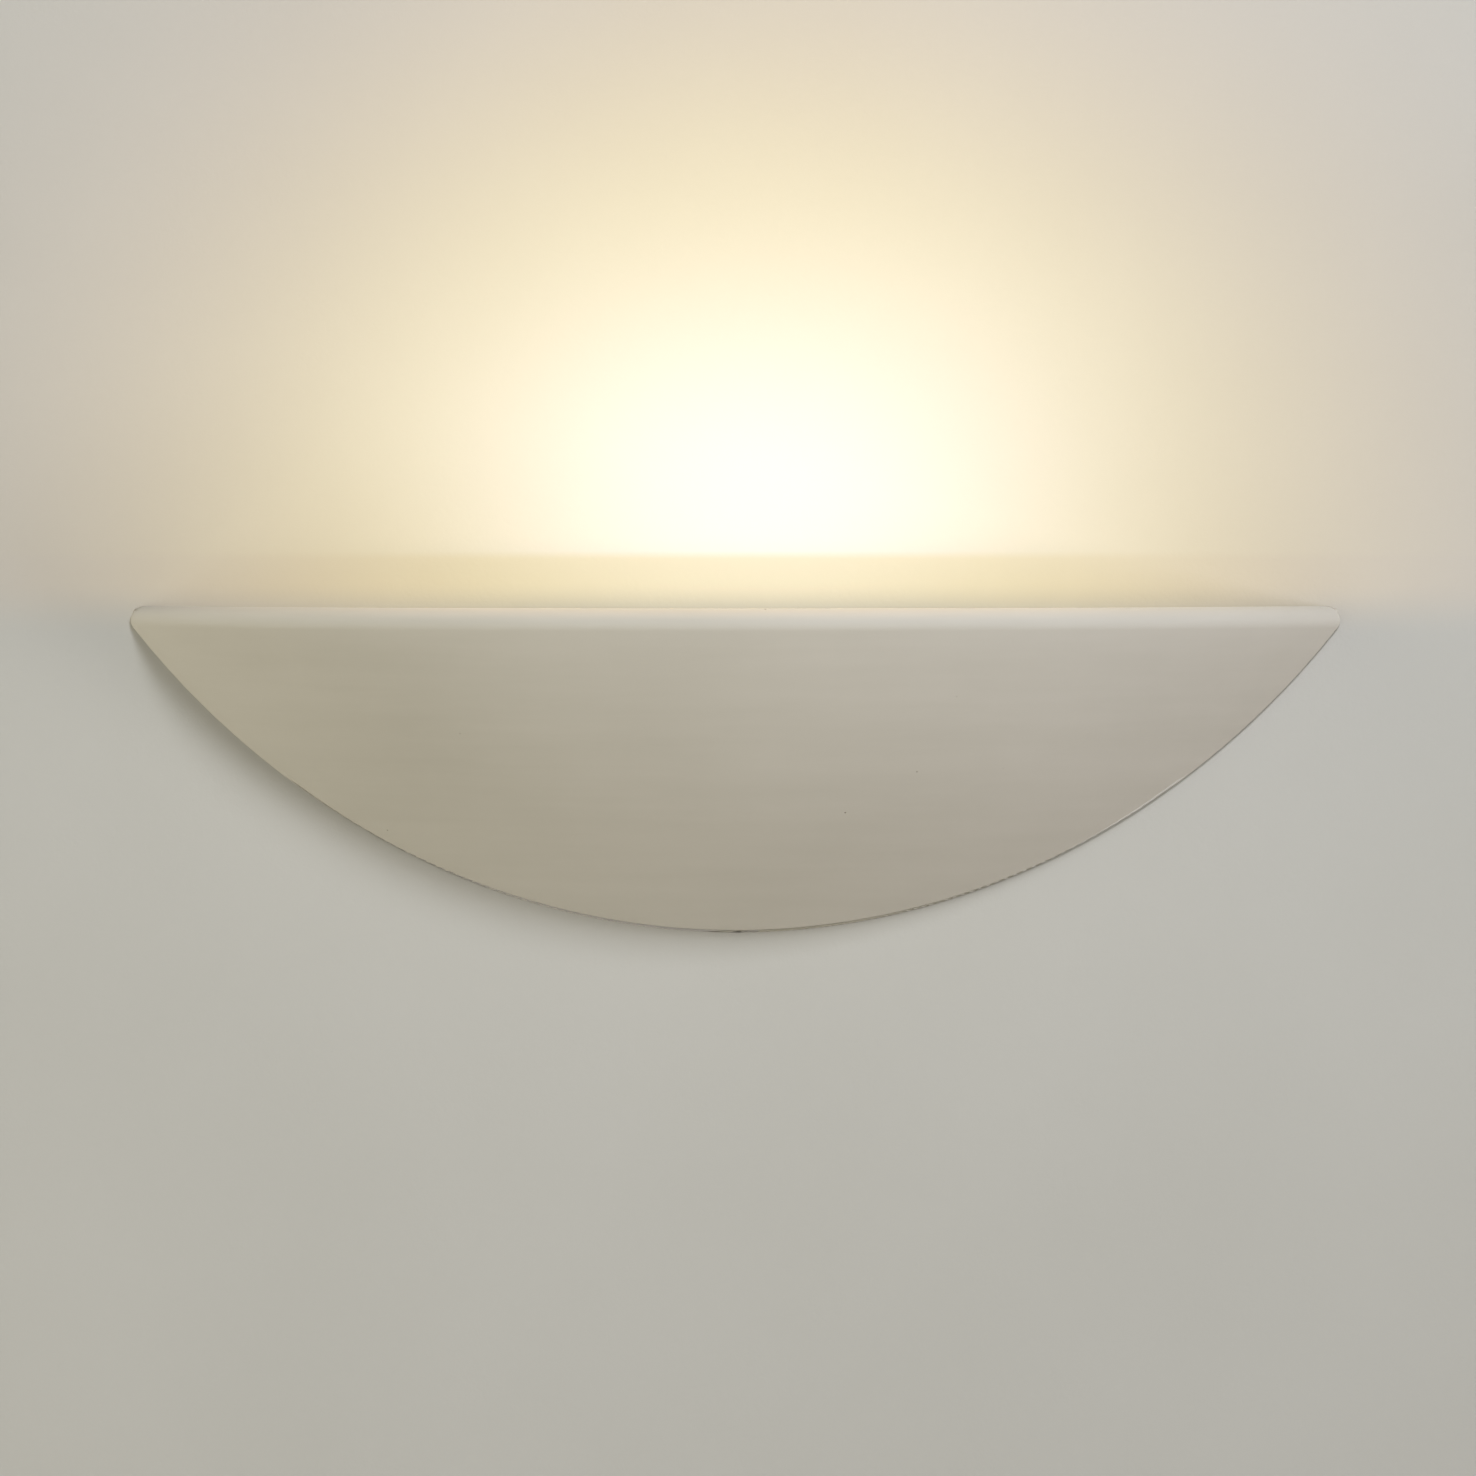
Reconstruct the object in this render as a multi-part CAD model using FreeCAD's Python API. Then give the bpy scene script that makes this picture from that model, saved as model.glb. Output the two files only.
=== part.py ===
import FreeCAD, Part
import math
import os

V = FreeCAD.Vector

# Uplighter wall sconce: an open-backed ceramic bowl hung over a lamp unit on a steel wall bracket.
# Millimetres. X runs along the wall, +Y into the wall, whose face is y = 0, and +Z is up.
# The origin is the middle of the two wall fixings, on the wall. "Out" means towards -Y.

# ---------------------------------------------------------------- driving dimensions
# Ceramic shell: a slice of an ellipsoid of revolution whose upright axis stands behind the wall
RIM_HALF_WIDTH = 194.7      # rim corner at the wall, before the lip is rounded
SHELL_DEPTH = 100.0         # wall to the front of the rim, before the lip is rounded
SHELL_HEIGHT = 102.5        # rim to the lowest point, at the wall
WALL_CURVE_HEIGHT = 280.6   # upright semi-axis of the ellipse that the shell draws on the wall
RIM_Z = 50.0                # rim above the wall fixings
SHELL_WALL = 8.0
LIP_RADIUS = 4.5
LIP_INNER_RADIUS = 1.5

# Cast lugs inside the shell, and the thumb screws that clamp them
LUG_X = 98.0
LUG_Z = 15.0
LUG_THICKNESS = 9.0
LUG_END_RADIUS = 9.0
LUG_ROOT_HALF = 15.0        # half height of the lug where it grows out of the shell
LUG_FLARE_RADIUS = 12.0     # where the lug widens towards the shell
LUG_HOLE_RADIUS = 3.2
THUMB_SHANK_RADIUS = 2.4    # M5
THUMB_HEAD_RADIUS = 7.0
THUMB_HEAD_LENGTH = 8.0
THUMB_FLUTES = 20
FLUTE_RADIUS = 0.7
FLUTE_OUTSIDE = 0.2         # a flute's middle outside the head
THUMB_CHAMFER = 0.8
THUMB_WASHER = 0.8
THUMB_WASHER_RADIUS = 6.0
THREAD_CLEARANCE = 0.1      # a plain shank stands for each thread, this much inside its hole

# Wall bracket: one folded steel strip, feet on the wall, centre panel and arms standing off it
BRACKET_STEEL = 1.5
STANDOFF = 6.5              # air behind the centre panel and the arms
FIXING_SPACING = 120.0
SLOT_WIDTH = 4.8
SLOT_LENGTH = 12.0
FOOT_HALF = 13.0            # half the flat length of a foot
FOOT_BOTTOM = -12.0
PANEL_HALF = 40.0
PANEL_ABOVE_LAMP = 11.0     # its upper edge above the lamp axis
PANEL_ABOVE_SHELL = 22.5    # its lower edge above the shell's lowest point
BEND_RADIUS = 1.5           # inside radius of every fold
BRACKET_CORNER = 3.0
ARM_HALF_HEIGHT = 9.0
RIVET_NUT_RADIUS = 3.5
RIVET_NUT_FLANGE = 0.8
RIVET_NUT_FLANGE_RADIUS = 5.2
RIVET_BULGE = 1.1            # the pressed side stands out this far behind the sheet
RIVET_BULGE_LENGTH = 2.0

# Lamp unit
LAMP_TO_FRONT = 64.0        # lamp axis to the front of the rim
HOLDER_ABOVE_SHELL = 0.8    # from the lampholders' rounded lower edge to the inside of the shell
LAMP_TUBE_RADIUS = 5.0
LAMP_TUBE_HALF = 43.0       # half the length of the round part of the tube
TUBE_GLASS = 1.0
TUBE_TAPER = 4.0            # length of each drawn-in end
LAMP_CONTACT_SPAN = 114.2   # between the two recessed contacts of a 118 mm double-ended lamp
CAP_RADIUS = 4.0
CAP_END_HALF = 59.0         # half of the lamp's whole length
CAP_LENGTH = 14.0
CAP_CHAMFER = 0.5
CAP_RECESS_RADIUS = 2.7
PINCH_WIDTH = 6.6
PINCH_THICKNESS = 2.6
PINCH_LENGTH = 10.0
CONTACT_DISC = 1.2
FILAMENT_RADIUS = 0.65
SUPPORT_COUNT = 5
SUPPORT_WIRE = 0.25         # half the thickness of a filament support
SUPPORT_END_GAP = 10.0      # from the end of the round tube to the first support

# Lamp bracket: a U of thin steel that carries a ceramic lampholder on each arm
U_STEEL = 1.2
U_HALF = 77.0               # outside of each arm
U_STRIP_HALF = 8.0          # half height of the strip across the panel
U_ARM_PAST_LAMP = 9.0       # reach of the arms beyond the lamp axis
U_SCREW_X = 32.0

HOLDER_LENGTH = 21.3        # along the lamp
HOLDER_BLOCK = 12.8         # the closed part, next to the arm
HOLDER_HALF_DEPTH = 8.0
HOLDER_TOP = 8.5            # above the lamp axis
HOLDER_BOTTOM = 12.5        # below the lamp axis
HOLDER_CORNER = 2.5
CRADLE_CLEARANCE = 1.2      # round the lamp's cap
HOLDER_SCREW_DROP = 8.8     # screw below the lamp axis
HOLDER_FACE = 2.0           # ceramic between the contact's chamber and the cradle
HOLDER_NUT_IN = 4.0         # its nut behind the cradle
CHEEK_ABOVE_LAMP = 2.0      # top of the cradle's sides above the lamp axis
CONTACT_RADIUS = 1.6
CONTACT_FLANGE_RADIUS = 3.3
CONTACT_FLANGE = 1.2
CONTACT_CLEARANCE = 0.2
CHAMBER_CLEARANCE = 0.3
BACKING_THICKNESS = 1.0
STUB_WALL = 0.6             # of the crimped stub on a backing disc
STUB_LENGTH = 2.0           # past the lamp bracket's arm
STUB_FLOOR = 0.5
SPRING_WIRE = 0.5
SPRING_TURNS = 5

# Heat shield: a folded aluminium trough behind and below the lamp
SHIELD_SHEET = 0.8
SHIELD_STANDOFF = 15.2      # its back face to the wall
SHIELD_BELOW_RIM = 4.0
SHIELD_BELOW_LAMP = 13.0
SHIELD_BACK_RADIUS = 9.5
SHIELD_FRONT_RADIUS = 7.0
SHIELD_PAST_LAMP = 11.0     # inside of its front lip beyond the lamp axis
SHIELD_LIP_BELOW_LAMP = 4.0
TROUGH_HALF = 52.0
WING_HALF = 72.0
WING_BELOW_LAMP = 7.0
SHIELD_SCREW_X = 18.0
SPACER_RADIUS = 3.0

# Terminal block, cable entry and earth point on the centre panel
BLOCK_X = 4.0               # middle of the block
BLOCK_LENGTH = 20.0
BLOCK_DEPTH = 12.0
POLE_PITCH = 8.0
POLE_COUNT = 3
TUBE_OUT = 5.0              # terminal tube's axis in front of the panel
TERMINAL_TUBE_RADIUS = 2.2
TERMINAL_TUBE_BORE = 1.4
TERMINAL_TUBE_LENGTH = 17.0
BARREL_GAP = 0.8            # between the ceramic barrels of two poles
TERMINAL_SCREW_RADIUS = 1.5
TERMINAL_SCREW_APART = 9.0
TOWER_WALL = 1.4            # ceramic round each terminal screw
CABLE_X = -24.0
CABLE_RISE = 18.0           # cable hole above the panel's lower edge
GROMMET_HOLE_RADIUS = 7.0
GROMMET_BORE_RADIUS = 4.75
GROMMET_FLANGE_RADIUS = 9.5
GROMMET_FRONT = 2.5
GROMMET_BACK = 2.0
EARTH_X = 33.0
EARTH_LUG = 0.8             # sheet of the ring terminal
EARTH_LUG_REACH = 6.0       # from its eye to the far end of its barrel
EARTH_BARREL = 5.0
EARTH_TONGUE_HALF = 1.8

# Fasteners: shank radius, head radius, head height, nut across flats, nut height
M3 = (1.45, 2.8, 2.0, 5.5, 2.4)
M4 = (1.95, 4.0, 2.4, 7.0, 3.2)
SHANK_CLEARANCE = 0.2
NUT_CLEARANCE = 0.05
SCREW_TIP = 1.0             # shank past its nut

# Wires
WIRE_RADIUS = 1.2
CONDUCTOR_RADIUS = 0.6
WIRE_BEND = 4.2
WIRE_PAST_ARM = 8.0         # the lamp leads pass this far outside the lamp bracket's arms
WIRE_OFF_PANEL = 3.0        # from the panel's face to a wire's axis
WIRE_ABOVE_SHELL = 1.2      # air between the lowest wire and the inside of the shell
ARM_HOLE_RADIUS = 3.0

# ---------------------------------------------------------------- places worked out from them
AXIS_Y = (RIM_HALF_WIDTH ** 2 - SHELL_DEPTH ** 2) / (2 * SHELL_DEPTH)
RIM_RADIUS = AXIS_Y + SHELL_DEPTH
CENTRE_RISE = WALL_CURVE_HEIGHT - SHELL_HEIGHT
WALL_CURVE_WIDTH = RIM_HALF_WIDTH / math.sqrt(1 - (CENTRE_RISE / WALL_CURVE_HEIGHT) ** 2)
SEMI_R = math.hypot(WALL_CURVE_WIDTH, AXIS_Y)
SEMI_Z = WALL_CURVE_HEIGHT * SEMI_R / WALL_CURVE_WIDTH


def shell_floor(x, out):
    """Height of the shell's inside face at that place along the wall and distance from it."""
    across = math.hypot(x, AXIS_Y + out) / (SEMI_R - SHELL_WALL)
    return RIM_Z + CENTRE_RISE - (SEMI_Z - SHELL_WALL) * math.sqrt(1 - across ** 2)


PANEL_BOTTOM = RIM_Z - SHELL_HEIGHT + PANEL_ABOVE_SHELL
PANEL_FACE = STANDOFF + BRACKET_STEEL
LUG_BACK = PANEL_FACE + RIVET_NUT_FLANGE
LUG_FRONT = LUG_BACK + LUG_THICKNESS
U_FACE = PANEL_FACE + U_STEEL
HOLDER_OUTER = U_HALF - U_STEEL
LAMP_OUT = SHELL_DEPTH - LAMP_TO_FRONT
EDGE_IN = HOLDER_CORNER * (1 - math.sqrt(0.5))  # how far a rounded edge lies inside its sharp corner
HOLDER_EDGE = shell_floor(HOLDER_OUTER, LAMP_OUT + HOLDER_HALF_DEPTH - EDGE_IN) + HOLDER_ABOVE_SHELL
LAMP_Z = HOLDER_EDGE - EDGE_IN + HOLDER_BOTTOM
PANEL_TOP = LAMP_Z + PANEL_ABOVE_LAMP
HOLDER_INNER = HOLDER_OUTER - HOLDER_LENGTH
BLOCK_FACE = HOLDER_OUTER - HOLDER_BLOCK
CONTACT_TIP = LAMP_CONTACT_SPAN / 2
CHAMBER_START = BLOCK_FACE + HOLDER_FACE
CHAMBER_RADIUS = CONTACT_FLANGE_RADIUS + CHAMBER_CLEARANCE
FLANGE_BACK = CHAMBER_START + CONTACT_CLEARANCE + CONTACT_FLANGE
BACKING_FACE = HOLDER_OUTER - BACKING_THICKNESS
SHIELD_TOP = RIM_Z - SHIELD_BELOW_RIM
SHIELD_FACE = SHIELD_STANDOFF + SHIELD_SHEET
SHIELD_BOTTOM = LAMP_Z - SHIELD_BELOW_LAMP
SHIELD_FRONT = LAMP_OUT + SHIELD_PAST_LAMP + SHIELD_SHEET
U_ARM_OUT = LAMP_OUT + U_ARM_PAST_LAMP
CABLE_Z = PANEL_BOTTOM + CABLE_RISE
TERMINAL_OUT = PANEL_FACE + TUBE_OUT
BARREL_RADIUS = (POLE_PITCH - BARREL_GAP) / 2
BLOCK_RIGHT = BLOCK_X + BLOCK_LENGTH / 2
WIRE_TURN_X = BLOCK_RIGHT + 1.7 * WIRE_BEND
LOWEST_WIRE_Z = shell_floor(WIRE_TURN_X, TERMINAL_OUT + WIRE_RADIUS) + WIRE_ABOVE_SHELL + WIRE_RADIUS
TOP_POLE_Z = LOWEST_WIRE_Z + 2 * WIRE_BEND + NUT_CLEARANCE + (POLE_COUNT - 1) * POLE_PITCH
SIDES = (-1, 1)


# ---------------------------------------------------------------- helpers
def box(x0, x1, y0, y1, z0, z1):
    return Part.makeBox(x1 - x0, y1 - y0, z1 - z0, V(x0, y0, z0))


def rod_x(radius, x0, x1, y, z):
    return Part.makeCylinder(radius, x1 - x0, V(x0, y, z), V(1, 0, 0))


def rod_y(radius, near, far, x, z):
    """A cylinder square to the wall, from near to far in front of it."""
    return Part.makeCylinder(radius, far - near, V(x, -near, z), V(0, -1, 0))


def rounded_edges(points, radii, closed):
    """Straight runs through the points, joined by tangent arcs where a radius is given."""
    count = len(points)
    stops = []
    for i, point in enumerate(points):
        if radii[i] <= 0 or (not closed and i in (0, count - 1)):
            stops.append((point, None, point))
            continue
        back = (points[i - 1] - point).normalize()
        ahead = (points[(i + 1) % count] - point).normalize()
        half = back.getAngle(ahead) / 2
        reach = radii[i] / math.tan(half)
        middle = point + (back + ahead).normalize() * (radii[i] / math.sin(half) - radii[i])
        stops.append((point + back * reach, middle, point + ahead * reach))
    edges = []
    for i, (start, middle, end) in enumerate(stops):
        if middle is not None:
            edges.append(Part.Arc(start, middle, end).toShape())
        if i == count - 1 and not closed:
            break
        following = stops[(i + 1) % count][0]
        if (following - end).Length > 1e-6:
            edges.append(Part.LineSegment(end, following).toShape())
    return edges


def plate(points, radii, thickness):
    """A flat outline with rounded corners, given thickness along the vector."""
    return Part.Face(Part.Wire(rounded_edges(points, radii, True))).extrude(thickness)


def folded_sheet(path, sheet, normal, inside, thickness):
    """A sheet folded along path, which is its one face; the sheet lies to the left of the path,
    seen against normal. inside is the inner radius of each fold."""
    count = len(path)
    steps = [(path[i + 1] - path[i]).normalize() for i in range(count - 1)]
    sides = [normal.cross(step) for step in steps]
    far = [path[0] + sides[0] * sheet]
    near_radii = [0]
    far_radii = [0]
    for i in range(1, count - 1):
        mitre = (sides[i - 1] + sides[i]).normalize()
        far.append(path[i] + mitre * (sheet / mitre.dot(sides[i])))
        turns_left = steps[i].dot(sides[i - 1]) > 0
        near_radii.append(inside[i - 1] + (sheet if turns_left else 0))
        far_radii.append(inside[i - 1] + (0 if turns_left else sheet))
    far.append(path[-1] + sides[-1] * sheet)
    near_radii.append(0)
    far_radii.append(0)
    return plate(path + far[::-1], near_radii + far_radii[::-1], thickness)


def tube_along(points, radius, bend):
    """A round bar along straight runs joined by arcs of the bend radius."""
    edges = rounded_edges(points, [bend] * len(points), False)
    start = (points[1] - points[0]).normalize()
    profile = Part.Wire(Part.makeCircle(radius, points[0], start))
    return Part.Wire(edges).makePipeShell([profile], True, False)


def hexagon(across_flats, centre, normal, sideways):
    """Corner points of a nut, with one flat facing sideways."""
    first = normal.cross(sideways)
    corner = across_flats / math.sqrt(3)
    return [centre + first * (corner * math.cos(math.radians(60 * i)))
            + sideways * (corner * math.sin(math.radians(60 * i))) for i in range(6)]


def nut(size, start, direction, sideways):
    shank, _, _, flats, height = size
    body = plate(hexagon(flats, start, direction, sideways), [0] * 6, direction * height)
    return body.cut(Part.makeCylinder(shank + NUT_CLEARANCE, height, start, direction))


def screw(size, seat, direction, length):
    """A pan-head screw whose head stands on seat; the shank runs along direction."""
    shank, head, height, _, _ = size
    top = Part.makeCylinder(head, height, seat - direction * height, direction)
    rim = [edge for edge in top.Edges if (edge.CenterOfMass - (seat - direction * height)).Length < 1e-6]
    top = top.makeChamfer(0.3 * height, rim[:1])
    slot = Part.makeBox(0.35 * head, 2 * head, 0.45 * height)
    slot.translate(V(-0.175 * head, -head, 0))
    slot.Placement = FreeCAD.Placement(seat - direction * height, FreeCAD.Rotation(V(0, 0, 1), direction)
                                       ).multiply(slot.Placement)
    return top.cut(slot).fuse(Part.makeCylinder(shank, length, seat, direction)).removeSplitter()


def save(name, solids):
    shape = solids[0] if len(solids) == 1 else Part.makeCompound(solids)
    count = len(shape.Solids)
    print("%-22s solids %d  valid %s  volume %.1f" % (name, count, shape.isValid(), shape.Volume))
    shape.exportStep("parts/%s.step" % name)


# ---------------------------------------------------------------- ceramic shell
def ellipsoid_bowl(inset, top):
    """The solid inside the shell's outer face, drawn in by inset and cut level at top."""
    centre = V(0, AXIS_Y, RIM_Z + CENTRE_RISE)
    semi_r = SEMI_R - inset
    semi_z = SEMI_Z - inset
    at_top = math.acos((top - centre.z) / semi_z)
    if semi_z >= semi_r:
        ellipse = Part.Ellipse(centre + V(0, 0, semi_z), centre + V(semi_r, 0, 0), centre)
        curve = Part.ArcOfEllipse(ellipse, at_top, math.pi).toShape()
    else:
        ellipse = Part.Ellipse(centre + V(semi_r, 0, 0), centre + V(0, 0, semi_z), centre)
        curve = Part.ArcOfEllipse(ellipse, -math.pi / 2, math.pi / 2 - at_top).toShape()
    corner = V(semi_r * math.sin(at_top), AXIS_Y, top)
    on_axis = V(0, AXIS_Y, top)
    lowest = centre - V(0, 0, semi_z)
    lines = [Part.LineSegment(lowest, on_axis).toShape(), Part.LineSegment(on_axis, corner).toShape()]
    outline = Part.Wire(Part.__sortEdges__([curve] + lines))
    return Part.Face(outline).revolve(on_axis, V(0, 0, 1), 360)


def front_half(shape):
    reach = 2 * RIM_RADIUS
    return shape.common(box(-reach, reach, -reach, 0, -reach, reach))


def shell_lug(side):
    """A tongue cast inside the shell: round at its hole, wider where it meets the shell."""
    root = RIM_HALF_WIDTH
    points = [V(side * (LUG_X - LUG_END_RADIUS), -LUG_BACK, LUG_Z - LUG_END_RADIUS),
              V(side * (LUG_X + LUG_END_RADIUS), -LUG_BACK, LUG_Z - LUG_END_RADIUS),
              V(side * (LUG_X + 3 * LUG_END_RADIUS), -LUG_BACK, LUG_Z - LUG_ROOT_HALF),
              V(side * root, -LUG_BACK, LUG_Z - LUG_ROOT_HALF),
              V(side * root, -LUG_BACK, LUG_Z + LUG_ROOT_HALF),
              V(side * (LUG_X + 3 * LUG_END_RADIUS), -LUG_BACK, LUG_Z + LUG_ROOT_HALF),
              V(side * (LUG_X + LUG_END_RADIUS), -LUG_BACK, LUG_Z + LUG_END_RADIUS),
              V(side * (LUG_X - LUG_END_RADIUS), -LUG_BACK, LUG_Z + LUG_END_RADIUS)]
    round_end = 0.98 * LUG_END_RADIUS
    flare = [LUG_FLARE_RADIUS] * 2
    radii = [round_end] + flare + [0, 0] + flare + [round_end]
    return plate(points, radii, V(0, -LUG_THICKNESS, 0))


def ceramic_shell():
    outer = ellipsoid_bowl(0, RIM_Z)
    ring = outer.cut(ellipsoid_bowl(SHELL_WALL, RIM_Z + SHELL_WALL))
    rim = [edge for edge in ring.Edges if edge.BoundBox.ZLength < 1e-3 and edge.BoundBox.ZMin > RIM_Z - 1e-3]
    rim.sort(key=lambda edge: edge.Length)
    ring = ring.makeFillet(LIP_INNER_RADIUS, rim[:1])
    rim = [edge for edge in ring.Edges if edge.BoundBox.ZLength < 1e-3 and edge.BoundBox.ZMin > RIM_Z - 1e-3]
    rim.sort(key=lambda edge: edge.Length)
    ring = ring.makeFillet(LIP_RADIUS, rim[-1:])
    shell = front_half(ring)
    inside = front_half(outer)
    for side in SIDES:
        shell = shell.fuse(shell_lug(side).common(inside))
    for side in SIDES:
        shell = shell.cut(rod_y(LUG_HOLE_RADIUS, LUG_BACK - 1, LUG_FRONT + 1, side * LUG_X, LUG_Z))
    return shell.removeSplitter()


# ---------------------------------------------------------------- thumb screws
def thumb_screw(side):
    x = side * LUG_X
    seat = LUG_FRONT + THUMB_WASHER
    head = rod_y(THUMB_HEAD_RADIUS, seat, seat + THUMB_HEAD_LENGTH, x, LUG_Z)
    ends = [edge for edge in head.Edges if edge.Curve.TypeId == "Part::GeomCircle"]
    head = head.makeChamfer(THUMB_CHAMFER, ends)
    for i in range(THUMB_FLUTES):
        turn = 2 * math.pi * i / THUMB_FLUTES
        flute = rod_y(FLUTE_RADIUS, seat - 1, seat + THUMB_HEAD_LENGTH + 1,
                      x + (THUMB_HEAD_RADIUS + FLUTE_OUTSIDE) * math.cos(turn),
                      LUG_Z + (THUMB_HEAD_RADIUS + FLUTE_OUTSIDE) * math.sin(turn))
        head = head.cut(flute)
    shank = rod_y(THUMB_SHANK_RADIUS, BRACKET_STEEL + SCREW_TIP, seat, x, LUG_Z)
    return head.fuse(shank).removeSplitter()


def thumb_washer(side):
    x = side * LUG_X
    disc = rod_y(THUMB_WASHER_RADIUS, LUG_FRONT, LUG_FRONT + THUMB_WASHER, x, LUG_Z)
    return disc.cut(rod_y(THUMB_SHANK_RADIUS + SHANK_CLEARANCE, LUG_FRONT - 1, LUG_FRONT + 2, x, LUG_Z))


# ---------------------------------------------------------------- wall bracket
def mirrored(points):
    """The right-hand points of an outline, then the same on the left, back to the start."""
    return points + [V(-point.x, point.y, point.z) for point in reversed(points)]


def wall_bracket():
    foot_start = FIXING_SPACING / 2 - FOOT_HALF
    foot_end = FIXING_SPACING / 2 + FOOT_HALF
    arm_end = LUG_X + ARM_HALF_HEIGHT
    right = [V(foot_start - STANDOFF, -STANDOFF, 0), V(foot_start, 0, 0), V(foot_end, 0, 0),
             V(foot_end + STANDOFF, -STANDOFF, 0), V(arm_end, -STANDOFF, 0)]
    path = [V(-point.x, point.y, 0) for point in reversed(right)] + right
    low = PANEL_BOTTOM - 1
    path = [point + V(0, 0, low) for point in path]
    strip = folded_sheet(path[::-1], BRACKET_STEEL, V(0, 0, 1), [BEND_RADIUS] * (len(path) - 2),
                         V(0, 0, PANEL_TOP - low + 1))
    arm_top = LUG_Z + ARM_HALF_HEIGHT
    arm_bottom = LUG_Z - ARM_HALF_HEIGHT
    edge = [V(PANEL_HALF, 0, PANEL_TOP), V(foot_start, 0, arm_top), V(arm_end, 0, arm_top),
            V(arm_end, 0, arm_bottom), V(foot_end + STANDOFF, 0, arm_bottom),
            V(foot_end, 0, FOOT_BOTTOM), V(foot_start, 0, FOOT_BOTTOM), V(PANEL_HALF, 0, PANEL_BOTTOM)]
    corners = [BRACKET_CORNER] * 2 + [0.98 * ARM_HALF_HEIGHT] * 2 + [BRACKET_CORNER] * 4
    outline = [point + V(0, 1, 0) for point in mirrored(edge)]
    blank = plate(outline, corners + corners[::-1], V(0, -2 * PANEL_FACE, 0))
    bracket = strip.common(blank)
    cuts = [rod_y(GROMMET_HOLE_RADIUS, 0, LUG_BACK, CABLE_X, CABLE_Z),
            rod_y(M4[0] + SHANK_CLEARANCE, 0, LUG_BACK, EARTH_X, TOP_POLE_Z),
            rod_y(M3[0] + SHANK_CLEARANCE, 0, LUG_BACK, BLOCK_X, TOP_POLE_Z - POLE_PITCH / 2)]
    for side in SIDES:
        cuts.append(fixing_slot(side))
        cuts.append(rod_y(RIVET_NUT_RADIUS + NUT_CLEARANCE, 0, LUG_BACK, side * LUG_X, LUG_Z))
        cuts.append(rod_y(M4[0] + SHANK_CLEARANCE, 0, LUG_BACK, side * U_SCREW_X, LAMP_Z))
        cuts.append(rod_y(M3[0] + SHANK_CLEARANCE, 0, LUG_BACK, side * SHIELD_SCREW_X, LAMP_Z))
    for cutter in cuts:
        bracket = bracket.cut(cutter)
    return bracket


def fixing_slot(side):
    x = side * FIXING_SPACING / 2
    half = SLOT_WIDTH / 2
    run = SLOT_LENGTH / 2 - half
    middle = box(x - run, x + run, -LUG_BACK, 1, -half, half)
    ends = [rod_y(half, -1, LUG_BACK, x + end * run, 0) for end in SIDES]
    return middle.fuse(ends)


def rivet_nut(side):
    x = side * LUG_X
    body = rod_y(RIVET_NUT_RADIUS, BRACKET_STEEL, PANEL_FACE, x, LUG_Z)
    flange = rod_y(RIVET_NUT_FLANGE_RADIUS, PANEL_FACE, LUG_BACK, x, LUG_Z)
    bulge = rod_y(RIVET_NUT_RADIUS + RIVET_BULGE, STANDOFF - RIVET_BULGE_LENGTH, STANDOFF, x, LUG_Z)
    whole = body.fuse([flange, bulge])
    bore = rod_y(THUMB_SHANK_RADIUS + THREAD_CLEARANCE, 0, LUG_FRONT, x, LUG_Z)
    return whole.cut(bore).removeSplitter()


def cable_grommet():
    front = rod_y(GROMMET_FLANGE_RADIUS, PANEL_FACE, PANEL_FACE + GROMMET_FRONT, CABLE_X, CABLE_Z)
    back = rod_y(GROMMET_FLANGE_RADIUS, STANDOFF - GROMMET_BACK, STANDOFF, CABLE_X, CABLE_Z)
    rims = [edge for edge in front.Edges if edge.Curve.TypeId == "Part::GeomCircle"
            and edge.BoundBox.YMax < -PANEL_FACE - 1]
    front = front.makeChamfer(0.4 * GROMMET_FRONT, rims)
    waist = rod_y(GROMMET_HOLE_RADIUS - NUT_CLEARANCE, STANDOFF - 1, PANEL_FACE + 1, CABLE_X, CABLE_Z)
    whole = front.fuse([back, waist])
    return whole.cut(rod_y(GROMMET_BORE_RADIUS, 0, 2 * PANEL_FACE, CABLE_X, CABLE_Z)).removeSplitter()


# ---------------------------------------------------------------- terminal block and earth point
def pole_heights():
    return [TOP_POLE_Z - POLE_PITCH * i for i in range(POLE_COUNT)]


def terminal_screw_places():
    return [(BLOCK_X + end * TERMINAL_SCREW_APART / 2, z) for z in pole_heights() for end in SIDES]


def block_screw_seat():
    return TERMINAL_OUT + BARREL_RADIUS + NUT_CLEARANCE


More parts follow.
